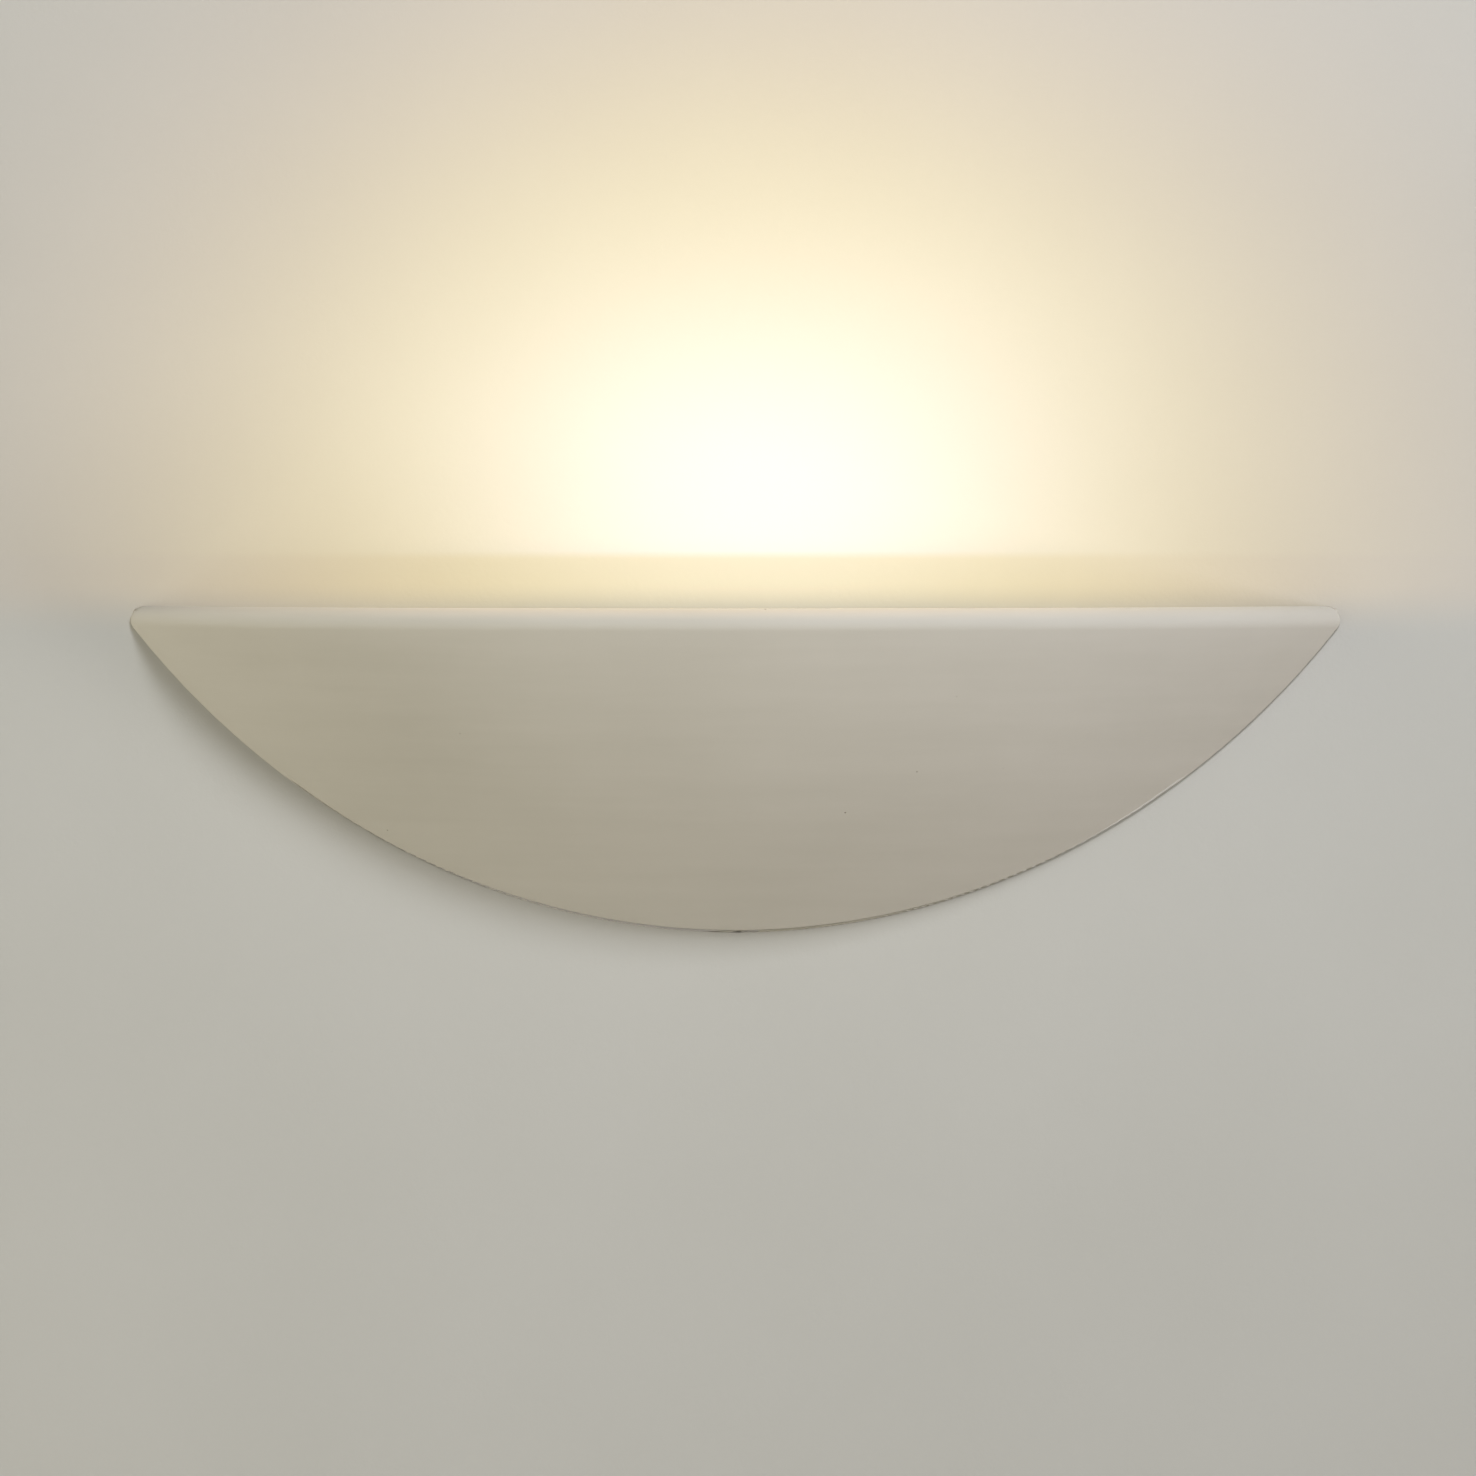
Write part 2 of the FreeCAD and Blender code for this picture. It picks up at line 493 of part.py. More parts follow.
def terminal_block():
    """Glazed ceramic block: a barrel and two screw towers for each pole, on one base."""
    left = BLOCK_X - BLOCK_LENGTH / 2
    heights = pole_heights()
    top = heights[0] + POLE_PITCH / 2
    bottom = heights[-1] - POLE_PITCH / 2
    base_depth = TUBE_OUT + 1
    block = box(left, BLOCK_RIGHT, -PANEL_FACE - base_depth, -PANEL_FACE, bottom, top)
    for z in heights:
        block = block.fuse(rod_x(BARREL_RADIUS, left, BLOCK_RIGHT, -TERMINAL_OUT, z))
    for x, z in terminal_screw_places():
        block = block.fuse(rod_y(TERMINAL_SCREW_RADIUS + TOWER_WALL, PANEL_FACE, PANEL_FACE + BLOCK_DEPTH,
                                 x, z))
    boss = rod_y(M3[1] + 0.6, PANEL_FACE, block_screw_seat(), BLOCK_X, TOP_POLE_Z - POLE_PITCH / 2)
    block = block.fuse(boss)
    for z in heights:
        block = block.cut(rod_x(TERMINAL_TUBE_RADIUS + NUT_CLEARANCE, left - 1, BLOCK_RIGHT + 1,
                                -TERMINAL_OUT, z))
    for x, z in terminal_screw_places():
        block = block.cut(rod_y(TERMINAL_SCREW_RADIUS + SHANK_CLEARANCE, TERMINAL_OUT, 3 * PANEL_FACE, x, z))
    fixing_z = TOP_POLE_Z - POLE_PITCH / 2
    fixing = rod_y(M3[0] + SHANK_CLEARANCE, 0, 3 * PANEL_FACE, BLOCK_X, fixing_z)
    return block.cut(fixing).removeSplitter()


def terminal_tube(z):
    middle = BLOCK_X
    half = TERMINAL_TUBE_LENGTH / 2
    tube = rod_x(TERMINAL_TUBE_RADIUS, middle - half, middle + half, -TERMINAL_OUT, z)
    tube = tube.cut(rod_x(TERMINAL_TUBE_BORE, middle - half, middle + half, -TERMINAL_OUT, z))
    for end in SIDES:
        x = middle + end * TERMINAL_SCREW_APART / 2
        tube = tube.cut(rod_y(TERMINAL_SCREW_RADIUS + NUT_CLEARANCE, TERMINAL_OUT, 3 * PANEL_FACE, x, z))
    return tube


def terminal_screw(x, z):
    tip = TERMINAL_OUT + CONDUCTOR_RADIUS + NUT_CLEARANCE
    head = PANEL_FACE + BLOCK_DEPTH - 1
    whole = rod_y(TERMINAL_SCREW_RADIUS, tip, head, x, z)
    slot = box(x - 2, x + 2, -head, -head + 0.8, z - 0.3, z + 0.3)
    return whole.cut(slot)


def earth_lug():
    """Ring terminal: a flat eye under the earth screw, and a barrel crimped on the wire."""
    back = PANEL_FACE + EARTH_LUG
    eye = rod_y(M4[1], back, back + EARTH_LUG, EARTH_X, TOP_POLE_Z)
    barrel_start = EARTH_X - M4[1] - EARTH_LUG_REACH
    tongue = box(barrel_start + 3, EARTH_X - M4[1] + 1, -back - EARTH_LUG, -back,
                 TOP_POLE_Z - EARTH_TONGUE_HALF, TOP_POLE_Z + EARTH_TONGUE_HALF)
    axis = back + WIRE_RADIUS + EARTH_LUG
    barrel = rod_x(WIRE_RADIUS + EARTH_LUG, barrel_start, barrel_start + EARTH_BARREL, -axis, TOP_POLE_Z)
    barrel = barrel.cut(rod_x(WIRE_RADIUS + NUT_CLEARANCE, barrel_start - 1, barrel_start + EARTH_BARREL + 1,
                              -axis, TOP_POLE_Z))
    lug = eye.fuse([tongue, barrel])
    lug = lug.cut(rod_x(WIRE_RADIUS + NUT_CLEARANCE, barrel_start - 1, barrel_start + EARTH_BARREL,
                        -axis, TOP_POLE_Z))
    return lug.cut(rod_y(M4[0] + SHANK_CLEARANCE, 0, LUG_FRONT, EARTH_X, TOP_POLE_Z)).removeSplitter()


def earth_washer():
    disc = rod_y(M4[1] + 0.6, PANEL_FACE, PANEL_FACE + EARTH_LUG, EARTH_X, TOP_POLE_Z)
    return disc.cut(rod_y(M4[0] + SHANK_CLEARANCE, 0, LUG_FRONT, EARTH_X, TOP_POLE_Z))


def through_screw(size, seat, x, z):
    """A screw from the front, long enough for its nut behind the centre panel."""
    end = STANDOFF - size[4] - SCREW_TIP
    return screw(size, V(x, -seat, z), V(0, 1, 0), seat - end)


def panel_nut(size, x, z):
    return nut(size, V(x, -STANDOFF, z), V(0, 1, 0), V(1, 0, 0))


# ---------------------------------------------------------------- lamp bracket and heat shield
def lamp_bracket():
    bottom = LAMP_Z - HOLDER_BOTTOM
    top = LAMP_Z + HOLDER_TOP
    path = [V(-U_HALF, -U_ARM_OUT, bottom), V(-U_HALF, -PANEL_FACE, bottom),
            V(U_HALF, -PANEL_FACE, bottom), V(U_HALF, -U_ARM_OUT, bottom)]
    bracket = folded_sheet(path[::-1], U_STEEL, V(0, 0, 1), [BEND_RADIUS] * 2, V(0, 0, top - bottom))
    inner = HOLDER_OUTER - BEND_RADIUS - 2
    strip_bottom = LAMP_Z - U_STRIP_HALF
    strip_top = LAMP_Z + U_STRIP_HALF
    for low, high in ((bottom - 1, strip_bottom), (strip_top, top + 1)):
        bracket = bracket.cut(box(-inner, inner, -U_FACE - 1, -PANEL_FACE + 1, low, high))
    for side in SIDES:
        outside = sorted((side * (HOLDER_OUTER - 1), side * (U_HALF + 1)))
        corner = plate([V(outside[0], -U_ARM_OUT - 1, bottom - 1), V(outside[0], -U_ARM_OUT + 5, bottom - 1),
                        V(outside[0], -U_ARM_OUT - 1, bottom + 5)], [0, 0, 0], V(outside[1] - outside[0], 0, 0))
        bracket = bracket.cut(corner)
        bracket = bracket.cut(rod_x(ARM_HOLE_RADIUS, outside[0], outside[1], -LAMP_OUT, LAMP_Z))
        bracket = bracket.cut(rod_x(M3[0] + SHANK_CLEARANCE, outside[0], outside[1], -LAMP_OUT,
                                    LAMP_Z - HOLDER_SCREW_DROP))
        bracket = bracket.cut(rod_y(M4[0] + SHANK_CLEARANCE, 0, 2 * U_FACE, side * U_SCREW_X, LAMP_Z))
        bracket = bracket.cut(rod_y(M3[0] + SHANK_CLEARANCE, 0, 2 * U_FACE, side * SHIELD_SCREW_X, LAMP_Z))
    return bracket


def heat_shield():
    """Polished trough: a straight back with wings behind the lampholders, a curved floor and a low lip."""
    lip = LAMP_Z - SHIELD_LIP_BELOW_LAMP
    path = [V(0, -SHIELD_STANDOFF, SHIELD_TOP), V(0, -SHIELD_STANDOFF, SHIELD_BOTTOM - SHIELD_SHEET),
            V(0, -SHIELD_FRONT, SHIELD_BOTTOM - SHIELD_SHEET), V(0, -SHIELD_FRONT, lip)]
    radii = [SHIELD_BACK_RADIUS, SHIELD_FRONT_RADIUS]
    centred = [point - V(WING_HALF, 0, 0) for point in path]
    sheet = folded_sheet(centred, SHIELD_SHEET, V(-1, 0, 0), radii, V(2 * WING_HALF, 0, 0))
    wing_bottom = LAMP_Z - WING_BELOW_LAMP
    for side in SIDES:
        ends = sorted((side * TROUGH_HALF, side * (WING_HALF + 1)))
        sheet = sheet.cut(box(ends[0], ends[1], -2 * SHELL_DEPTH, 0, -RIM_Z, wing_bottom))
        sheet = sheet.cut(box(ends[0], ends[1], -2 * SHELL_DEPTH, -SHIELD_FACE - 1, -RIM_Z, RIM_Z))
        sheet = sheet.cut(rod_y(M3[0] + SHANK_CLEARANCE, 0, 2 * SHIELD_FACE, side * SHIELD_SCREW_X, LAMP_Z))
    return sheet


def shield_spacer(side):
    x = side * SHIELD_SCREW_X
    tube = rod_y(SPACER_RADIUS, U_FACE, SHIELD_STANDOFF, x, LAMP_Z)
    return tube.cut(rod_y(M3[0] + SHANK_CLEARANCE, 0, 2 * SHIELD_FACE, x, LAMP_Z))


# ---------------------------------------------------------------- lampholders and contacts
def mirror_to(side, shape):
    """Holders are drawn on the right and mirrored to the left."""
    return shape if side > 0 else shape.mirror(V(0, 0, 0), V(1, 0, 0))


def lampholder(side):
    """Steatite holder: an open cradle for the lamp's cap, then a block with the contact's chamber."""
    y0 = -LAMP_OUT - HOLDER_HALF_DEPTH
    y1 = -LAMP_OUT + HOLDER_HALF_DEPTH
    bottom = LAMP_Z - HOLDER_BOTTOM
    section = [V(HOLDER_INNER, y0, bottom), V(HOLDER_INNER, y1, bottom),
               V(HOLDER_INNER, y1, LAMP_Z + HOLDER_TOP), V(HOLDER_INNER, y0, LAMP_Z + HOLDER_TOP)]
    body = plate(section, [HOLDER_CORNER] * 4, V(HOLDER_LENGTH, 0, 0))
    cradle_radius = CAP_RADIUS + CRADLE_CLEARANCE
    body = body.cut(rod_x(cradle_radius, HOLDER_INNER - 1, BLOCK_FACE, -LAMP_OUT, LAMP_Z))
    body = body.cut(box(HOLDER_INNER - 1, BLOCK_FACE, -LAMP_OUT - cradle_radius, -LAMP_OUT + cradle_radius,
                        LAMP_Z, LAMP_Z + HOLDER_TOP + 1))
    body = body.cut(box(HOLDER_INNER - 1, BLOCK_FACE, y0 - 1, y1 + 1,
                        LAMP_Z + CHEEK_ABOVE_LAMP, LAMP_Z + HOLDER_TOP + 1))
    body = body.cut(rod_x(CONTACT_RADIUS + CONTACT_CLEARANCE, HOLDER_INNER, HOLDER_OUTER, -LAMP_OUT, LAMP_Z))
    body = body.cut(rod_x(CHAMBER_RADIUS, CHAMBER_START, HOLDER_OUTER + 1, -LAMP_OUT, LAMP_Z))
    screw_z = LAMP_Z - HOLDER_SCREW_DROP
    body = body.cut(rod_x(M3[0] + SHANK_CLEARANCE, BLOCK_FACE - 3, HOLDER_OUTER + 1, -LAMP_OUT, screw_z))
    half_nut = M3[3] / 2 + NUT_CLEARANCE
    pocket = box(holder_nut_x() - NUT_CLEARANCE, holder_nut_x() + M3[4] + NUT_CLEARANCE,
                 -LAMP_OUT - half_nut, -LAMP_OUT + half_nut, bottom - 1, screw_z + M3[3] / math.sqrt(3) + 0.1)
    return mirror_to(side, body.cut(pocket).removeSplitter())


def holder_nut_x():
    return BLOCK_FACE + HOLDER_NUT_IN


def holder_screw(side):
    seat = V(U_HALF, -LAMP_OUT, LAMP_Z - HOLDER_SCREW_DROP)
    return mirror_to(side, screw(M3, seat, V(-1, 0, 0), U_HALF - holder_nut_x() + SCREW_TIP))


def holder_nut(side):
    start = V(holder_nut_x(), -LAMP_OUT, LAMP_Z - HOLDER_SCREW_DROP)
    return mirror_to(side, nut(M3, start, V(1, 0, 0), V(0, 1, 0)))


def contact_pin():
    """A turned contact: domed nose that enters the lamp's cap, and a flange inside the chamber."""
    nose = Part.makeSphere(CONTACT_RADIUS, V(CONTACT_TIP + CONTACT_RADIUS, -LAMP_OUT, LAMP_Z))
    shaft = rod_x(CONTACT_RADIUS, CONTACT_TIP + CONTACT_RADIUS, FLANGE_BACK, -LAMP_OUT, LAMP_Z)
    flange = rod_x(CONTACT_FLANGE_RADIUS, FLANGE_BACK - CONTACT_FLANGE, FLANGE_BACK, -LAMP_OUT, LAMP_Z)
    return nose.fuse([shaft, flange]).removeSplitter()


def contact_fixed():
    stem = rod_x(CONTACT_RADIUS, FLANGE_BACK, BACKING_FACE, -LAMP_OUT, LAMP_Z)
    return mirror_to(-1, contact_pin().fuse(stem).removeSplitter())


def contact_backing(side):
    """The disc that closes the chamber and takes the lead on its crimped stub."""
    disc = rod_x(CHAMBER_RADIUS - NUT_CLEARANCE, BACKING_FACE, HOLDER_OUTER, -LAMP_OUT, LAMP_Z)
    stub = rod_x(WIRE_RADIUS + STUB_WALL, HOLDER_OUTER, U_HALF + STUB_LENGTH, -LAMP_OUT, LAMP_Z)
    hole = rod_x(WIRE_RADIUS + NUT_CLEARANCE, HOLDER_OUTER + STUB_FLOOR, U_HALF + STUB_LENGTH + 1,
                 -LAMP_OUT, LAMP_Z)
    return mirror_to(side, disc.fuse(stub).cut(hole))


def contact_spring():
    """Compression spring between the plunger's flange and the backing disc, a quarter turn to each arc."""
    mean = CONTACT_FLANGE_RADIUS - SPRING_WIRE
    first = FLANGE_BACK + SPRING_WIRE / 2 + NUT_CLEARANCE
    length = BACKING_FACE - FLANGE_BACK - SPRING_WIRE - 2 * NUT_CLEARANCE

    def on_helix(turns):
        angle = 2 * math.pi * turns
        return V(first + length * turns / SPRING_TURNS, -LAMP_OUT + mean * math.cos(angle),
                 LAMP_Z + mean * math.sin(angle))

    arcs = [Part.Arc(on_helix(i / 4), on_helix((i + 0.5) / 4), on_helix((i + 1) / 4)).toShape()
            for i in range(4 * SPRING_TURNS)]
    start = arcs[0].tangentAt(arcs[0].FirstParameter)
    profile = Part.Wire(Part.makeCircle(SPRING_WIRE / 2, on_helix(0), start))
    return Part.Wire(arcs).makePipeShell([profile], True, False)


# ---------------------------------------------------------------- lamp
def turned(profile):
    """A solid of revolution about the lamp's axis from (x, radius) points."""
    points = [V(x, -LAMP_OUT, LAMP_Z + radius) for x, radius in profile]
    wire = Part.Wire(Part.makePolygon(points + points[:1]))
    return Part.Face(wire).revolve(V(0, -LAMP_OUT, LAMP_Z), V(1, 0, 0), 360)


def pinch_end():
    return LAMP_TUBE_HALF + PINCH_LENGTH


def lamp_tube():
    """Quartz tube, drawn in at both ends to a flat pinch that is cemented into each cap."""
    neck = PINCH_THICKNESS / 2
    outer = [(-LAMP_TUBE_HALF, 0), (-LAMP_TUBE_HALF, neck), (TUBE_TAPER - LAMP_TUBE_HALF, LAMP_TUBE_RADIUS),
             (LAMP_TUBE_HALF - TUBE_TAPER, LAMP_TUBE_RADIUS), (LAMP_TUBE_HALF, neck), (LAMP_TUBE_HALF, 0)]
    end = LAMP_TUBE_HALF - TUBE_GLASS
    shoulder = end - TUBE_TAPER + 0.6
    bore = LAMP_TUBE_RADIUS - TUBE_GLASS
    seat = FILAMENT_RADIUS + NUT_CLEARANCE
    inner = [(-end, 0), (-end, seat), (-shoulder, bore), (shoulder, bore), (end, seat), (end, 0)]
    glass = turned(outer).cut(turned(inner))
    half = PINCH_WIDTH / 2
    for side in SIDES:
        ends = sorted((side * (LAMP_TUBE_HALF - TUBE_GLASS / 2), side * pinch_end()))
        glass = glass.fuse(box(ends[0], ends[1], -LAMP_OUT - half, -LAMP_OUT + half,
                               LAMP_Z - neck, LAMP_Z + neck))
    return glass.removeSplitter()


def lamp_cap(side):
    start = CAP_END_HALF - CAP_LENGTH
    cap = rod_x(CAP_RADIUS, start, CAP_END_HALF, -LAMP_OUT, LAMP_Z)
    ends = [edge for edge in cap.Edges if edge.Curve.TypeId == "Part::GeomCircle"]
    cap = cap.makeChamfer(CAP_CHAMFER, ends)
    half = PINCH_WIDTH / 2 + NUT_CLEARANCE
    neck = PINCH_THICKNESS / 2 + NUT_CLEARANCE
    slot = box(start - 1, pinch_end() + NUT_CLEARANCE, -LAMP_OUT - half, -LAMP_OUT + half, LAMP_Z - neck,
               LAMP_Z + neck)
    recess = rod_x(CAP_RECESS_RADIUS, CONTACT_TIP - CONTACT_DISC, CAP_END_HALF + 1, -LAMP_OUT, LAMP_Z)
    return mirror_to(side, cap.cut(slot).cut(recess))


def lamp_contact(side):
    disc = rod_x(CAP_RECESS_RADIUS - NUT_CLEARANCE, CONTACT_TIP - CONTACT_DISC, CONTACT_TIP, -LAMP_OUT, LAMP_Z)
    return mirror_to(side, disc)


def filament():
    end = LAMP_TUBE_HALF - TUBE_GLASS
    return rod_x(FILAMENT_RADIUS, -end, end, -LAMP_OUT, LAMP_Z)


def filament_supports():
    """Small rings that hold the filament in the middle of the tube, each on one leg."""
    outside = LAMP_TUBE_RADIUS - TUBE_GLASS - NUT_CLEARANCE
    inside = outside - 2 * SUPPORT_WIRE
    reach = LAMP_TUBE_HALF - SUPPORT_END_GAP
    rings = []
    for i in range(SUPPORT_COUNT):
        x = -reach + i * 2 * reach / (SUPPORT_COUNT - 1)
        ring = rod_x(outside, x - SUPPORT_WIRE, x + SUPPORT_WIRE, -LAMP_OUT, LAMP_Z)
        ring = ring.cut(rod_x(inside, x - SUPPORT_WIRE, x + SUPPORT_WIRE, -LAMP_OUT, LAMP_Z))
        leg = box(x - SUPPORT_WIRE, x + SUPPORT_WIRE, -LAMP_OUT - SUPPORT_WIRE, -LAMP_OUT + SUPPORT_WIRE,
                  LAMP_Z + FILAMENT_RADIUS + NUT_CLEARANCE, LAMP_Z + inside + SUPPORT_WIRE)
        rings.append(ring.fuse(leg))
    return rings


# ---------------------------------------------------------------- wires
def wire_with_ends(route, bare_start, bare_end):
    """A sleeved wire; each bare end is a thinner stretch of conductor running straight on."""
    wire = tube_along(route, WIRE_RADIUS, WIRE_BEND)
    for tip, beside, length in ((route[0], route[1], bare_start), (route[-1], route[-2], bare_end)):
        if length > 0:
            away = (tip - beside).normalize()
            wire = wire.fuse(Part.makeCylinder(CONDUCTOR_RADIUS, length, tip, away))
    return wire.removeSplitter()


def bare_length():
    return BLOCK_LENGTH / 2 - TERMINAL_SCREW_APART / 2 + TERMINAL_SCREW_RADIUS + 1


def lead_to_holder(side):
    """The last points of a lamp lead: up outside the bracket's arm, then in to the holder's stub."""
    x = side * (U_HALF + WIRE_PAST_ARM)
    low = LAMP_Z - HOLDER_BOTTOM
    return [V(side * U_HALF, -PANEL_FACE - WIRE_OFF_PANEL - WIRE_RADIUS, FOOT_BOTTOM + WIRE_RADIUS),
            V(x, -(PANEL_FACE + LAMP_OUT) / 2, low - WIRE_OFF_PANEL),
            V(x, -LAMP_OUT, LAMP_Z),
            V(side * (HOLDER_OUTER + STUB_FLOOR), -LAMP_OUT, LAMP_Z)]


def live_wire():
    z = TOP_POLE_Z - POLE_PITCH
    straight = BLOCK_RIGHT + 2 * WIRE_BEND
    route = [V(BLOCK_RIGHT, -TERMINAL_OUT, z), V(straight, -TERMINAL_OUT, z),
             V(PANEL_HALF + WIRE_BEND, -PANEL_FACE - WIRE_OFF_PANEL, z + WIRE_RADIUS)] + lead_to_holder(1)
    return wire_with_ends(route, bare_length(), 0)


def neutral_wire():
    """Turns back below the terminal block and crosses the panel to the other lampholder."""
    z = TOP_POLE_Z - (POLE_COUNT - 1) * POLE_PITCH
    out = -PANEL_FACE - WIRE_OFF_PANEL
    route = [V(BLOCK_RIGHT, -TERMINAL_OUT, z), V(WIRE_TURN_X, -TERMINAL_OUT, z),
             V(WIRE_TURN_X, -TERMINAL_OUT, LOWEST_WIRE_Z), V(CABLE_X - WIRE_BEND, out, LOWEST_WIRE_Z),
             V(-PANEL_HALF - 2 * WIRE_BEND, out, FOOT_BOTTOM - WIRE_OFF_PANEL)] + lead_to_holder(-1)
    return wire_with_ends(route, bare_length(), 0)


def earth_wire():
    axis = PANEL_FACE + 2 * EARTH_LUG + WIRE_RADIUS
    lug_start = EARTH_X - M4[1] - EARTH_LUG_REACH
    span = lug_start - BLOCK_RIGHT
    route = [V(BLOCK_RIGHT, -TERMINAL_OUT, TOP_POLE_Z), V(BLOCK_RIGHT + 0.3 * span, -TERMINAL_OUT, TOP_POLE_Z),
             V(BLOCK_RIGHT + 0.7 * span, -axis, TOP_POLE_Z), V(lug_start + 3, -axis, TOP_POLE_Z)]
    return wire_with_ends(route, bare_length(), 0)


# ---------------------------------------------------------------- build
def pair(make):
    return [make(side) for side in SIDES]


def build():
    os.makedirs("parts", exist_ok=True)
    save("wall_bracket", [wall_bracket()])
    save("rivet_nuts", pair(rivet_nut))
    save("cable_grommet", [cable_grommet()])
    save("terminal_block", [terminal_block()])
    save("terminal_tubes", [terminal_tube(z) for z in pole_heights()])
    save("terminal_screws", [terminal_screw(x, z) for x, z in terminal_screw_places()])
    block_fixing_z = TOP_POLE_Z - POLE_PITCH / 2
    save("terminal_block_screw", [through_screw(M3, block_screw_seat(), BLOCK_X, block_fixing_z)])
    save("earth_washer", [earth_washer()])
    save("earth_lug", [earth_lug()])
    save("earth_screw", [through_screw(M4, PANEL_FACE + 2 * EARTH_LUG, EARTH_X, TOP_POLE_Z)])
    save("lamp_bracket", [lamp_bracket()])
    save("lamp_bracket_screws", [through_screw(M4, U_FACE, side * U_SCREW_X, LAMP_Z) for side in SIDES])
    save("heat_shield", [heat_shield()])
    save("shield_spacers", pair(shield_spacer))
    save("shield_screws", [through_screw(M3, SHIELD_FACE, side * SHIELD_SCREW_X, LAMP_Z) for side in SIDES])
    save("small_nuts", [panel_nut(M3, side * SHIELD_SCREW_X, LAMP_Z) for side in SIDES]
         + [panel_nut(M3, BLOCK_X, block_fixing_z)])
    save("large_nuts", [panel_nut(M4, side * U_SCREW_X, LAMP_Z) for side in SIDES]
         + [panel_nut(M4, EARTH_X, TOP_POLE_Z)])
    save("lampholder_left", [lampholder(-1)])
    save("lampholder_right", [lampholder(1)])
    save("holder_screws", pair(holder_screw))
    save("holder_nuts", pair(holder_nut))
    save("contact_fixed", [contact_fixed()])
    save("contact_backings", pair(contact_backing))
    save("contact_plunger", [contact_pin()])
    save("contact_spring", [contact_spring()])
    save("lamp_tube", [lamp_tube()])
    save("lamp_caps", pair(lamp_cap))
    save("lamp_contacts", pair(lamp_contact))
    save("filament", [filament()])
    save("filament_supports", filament_supports())
    save("live_wire", [live_wire()])
    save("neutral_wire", [neutral_wire()])
    save("earth_wire", [earth_wire()])
    save("ceramic_shell", [ceramic_shell()])
    save("thumb_screw_left", [thumb_screw(-1)])
    save("thumb_screw_right", [thumb_screw(1)])
    save("thumb_washers", pair(thumb_washer))


build()
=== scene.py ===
import math

import bmesh
import bpy
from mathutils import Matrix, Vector


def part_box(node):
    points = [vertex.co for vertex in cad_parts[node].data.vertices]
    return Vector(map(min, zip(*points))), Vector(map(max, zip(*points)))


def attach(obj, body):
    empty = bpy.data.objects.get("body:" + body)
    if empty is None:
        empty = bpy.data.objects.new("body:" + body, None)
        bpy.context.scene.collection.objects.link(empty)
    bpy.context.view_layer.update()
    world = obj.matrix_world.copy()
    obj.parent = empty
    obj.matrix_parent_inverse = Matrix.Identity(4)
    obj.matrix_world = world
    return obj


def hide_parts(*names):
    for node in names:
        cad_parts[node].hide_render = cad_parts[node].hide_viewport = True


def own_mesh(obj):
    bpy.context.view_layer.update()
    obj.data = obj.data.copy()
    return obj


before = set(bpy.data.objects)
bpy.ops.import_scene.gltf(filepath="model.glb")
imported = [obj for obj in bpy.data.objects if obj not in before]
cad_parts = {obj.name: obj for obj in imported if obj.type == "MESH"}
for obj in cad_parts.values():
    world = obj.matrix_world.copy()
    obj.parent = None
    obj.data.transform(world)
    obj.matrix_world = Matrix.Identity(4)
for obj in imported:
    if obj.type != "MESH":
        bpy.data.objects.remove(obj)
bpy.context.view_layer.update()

# ------------------------------------------------------------------ wall bracket and rivet nuts
# One strip of 1.5 mm sheet steel, zinc plated and folded, that two screws hold to the wall.
# A round rivet nut is pressed into each arm for the thumb screws.
def add_node(tree, kind, links=None, **settings):
    """A shader node with its settings; links maps an input's name to the socket that feeds it."""
    node = tree.nodes.new(kind)
    for key, value in settings.items():
        if key in node.inputs:
            node.inputs[key].default_value = value
        else:
            setattr(node, key, value)
    for key, socket in (links or {}).items():
        tree.links.new(socket, node.inputs[key])
    return node


def blank_finish(name):
    """A new material with only its shader, and the piece's own coordinates in metres."""
    finish = bpy.data.materials.new(name)
    finish.use_nodes = True
    tree = finish.node_tree
    place = tree.nodes.new("ShaderNodeTexCoord").outputs["Object"]
    return finish, tree, tree.nodes["Principled BSDF"], place


def shades(tree, factor, stops):
    """A colour ramp from (position, (r, g, b)) pairs."""
    ramp = add_node(tree, "ShaderNodeValToRGB", {"Fac": factor})
    stop = ramp.color_ramp.elements
    while len(stop) < len(stops):
        stop.new(0.5)
    for i, (position, colour) in enumerate(stops):
        stop[i].position = position
        stop[i].color = (*colour, 1)
    return ramp.outputs["Color"]


def grain(tree, place, scale, detail=3.0, rough=0.5, stretch=(1, 1, 1)):
    """Noise of about 1/scale metres, drawn out along an axis by a small stretch."""
    mapped = add_node(tree, "ShaderNodeMapping", {"Vector": place}, Scale=stretch)
    noise = add_node(tree, "ShaderNodeTexNoise", {"Vector": mapped.outputs["Vector"]},
                     Scale=scale, Detail=detail, Roughness=rough)
    return noise.outputs["Fac"]


def between(tree, factor, low, high, start=0.0, end=1.0):
    """factor from start to end gives low to high."""
    spread = add_node(tree, "ShaderNodeMapRange", {"Value": factor})
    for key, value in (("From Min", start), ("From Max", end), ("To Min", low), ("To Max", high)):
        spread.inputs[key].default_value = value
    return spread.outputs["Result"]


def raised(tree, shader, height, depth, strength=1.0, under=None):
    """Bump of that depth in metres, over another bump where one is given."""
    links = {"Height": height}
    if under is not None:
        links["Normal"] = under
    bump = add_node(tree, "ShaderNodeBump", links, Distance=depth, Strength=strength)
    tree.links.new(bump.outputs["Normal"], shader.inputs["Normal"])
    return bump.outputs["Normal"]


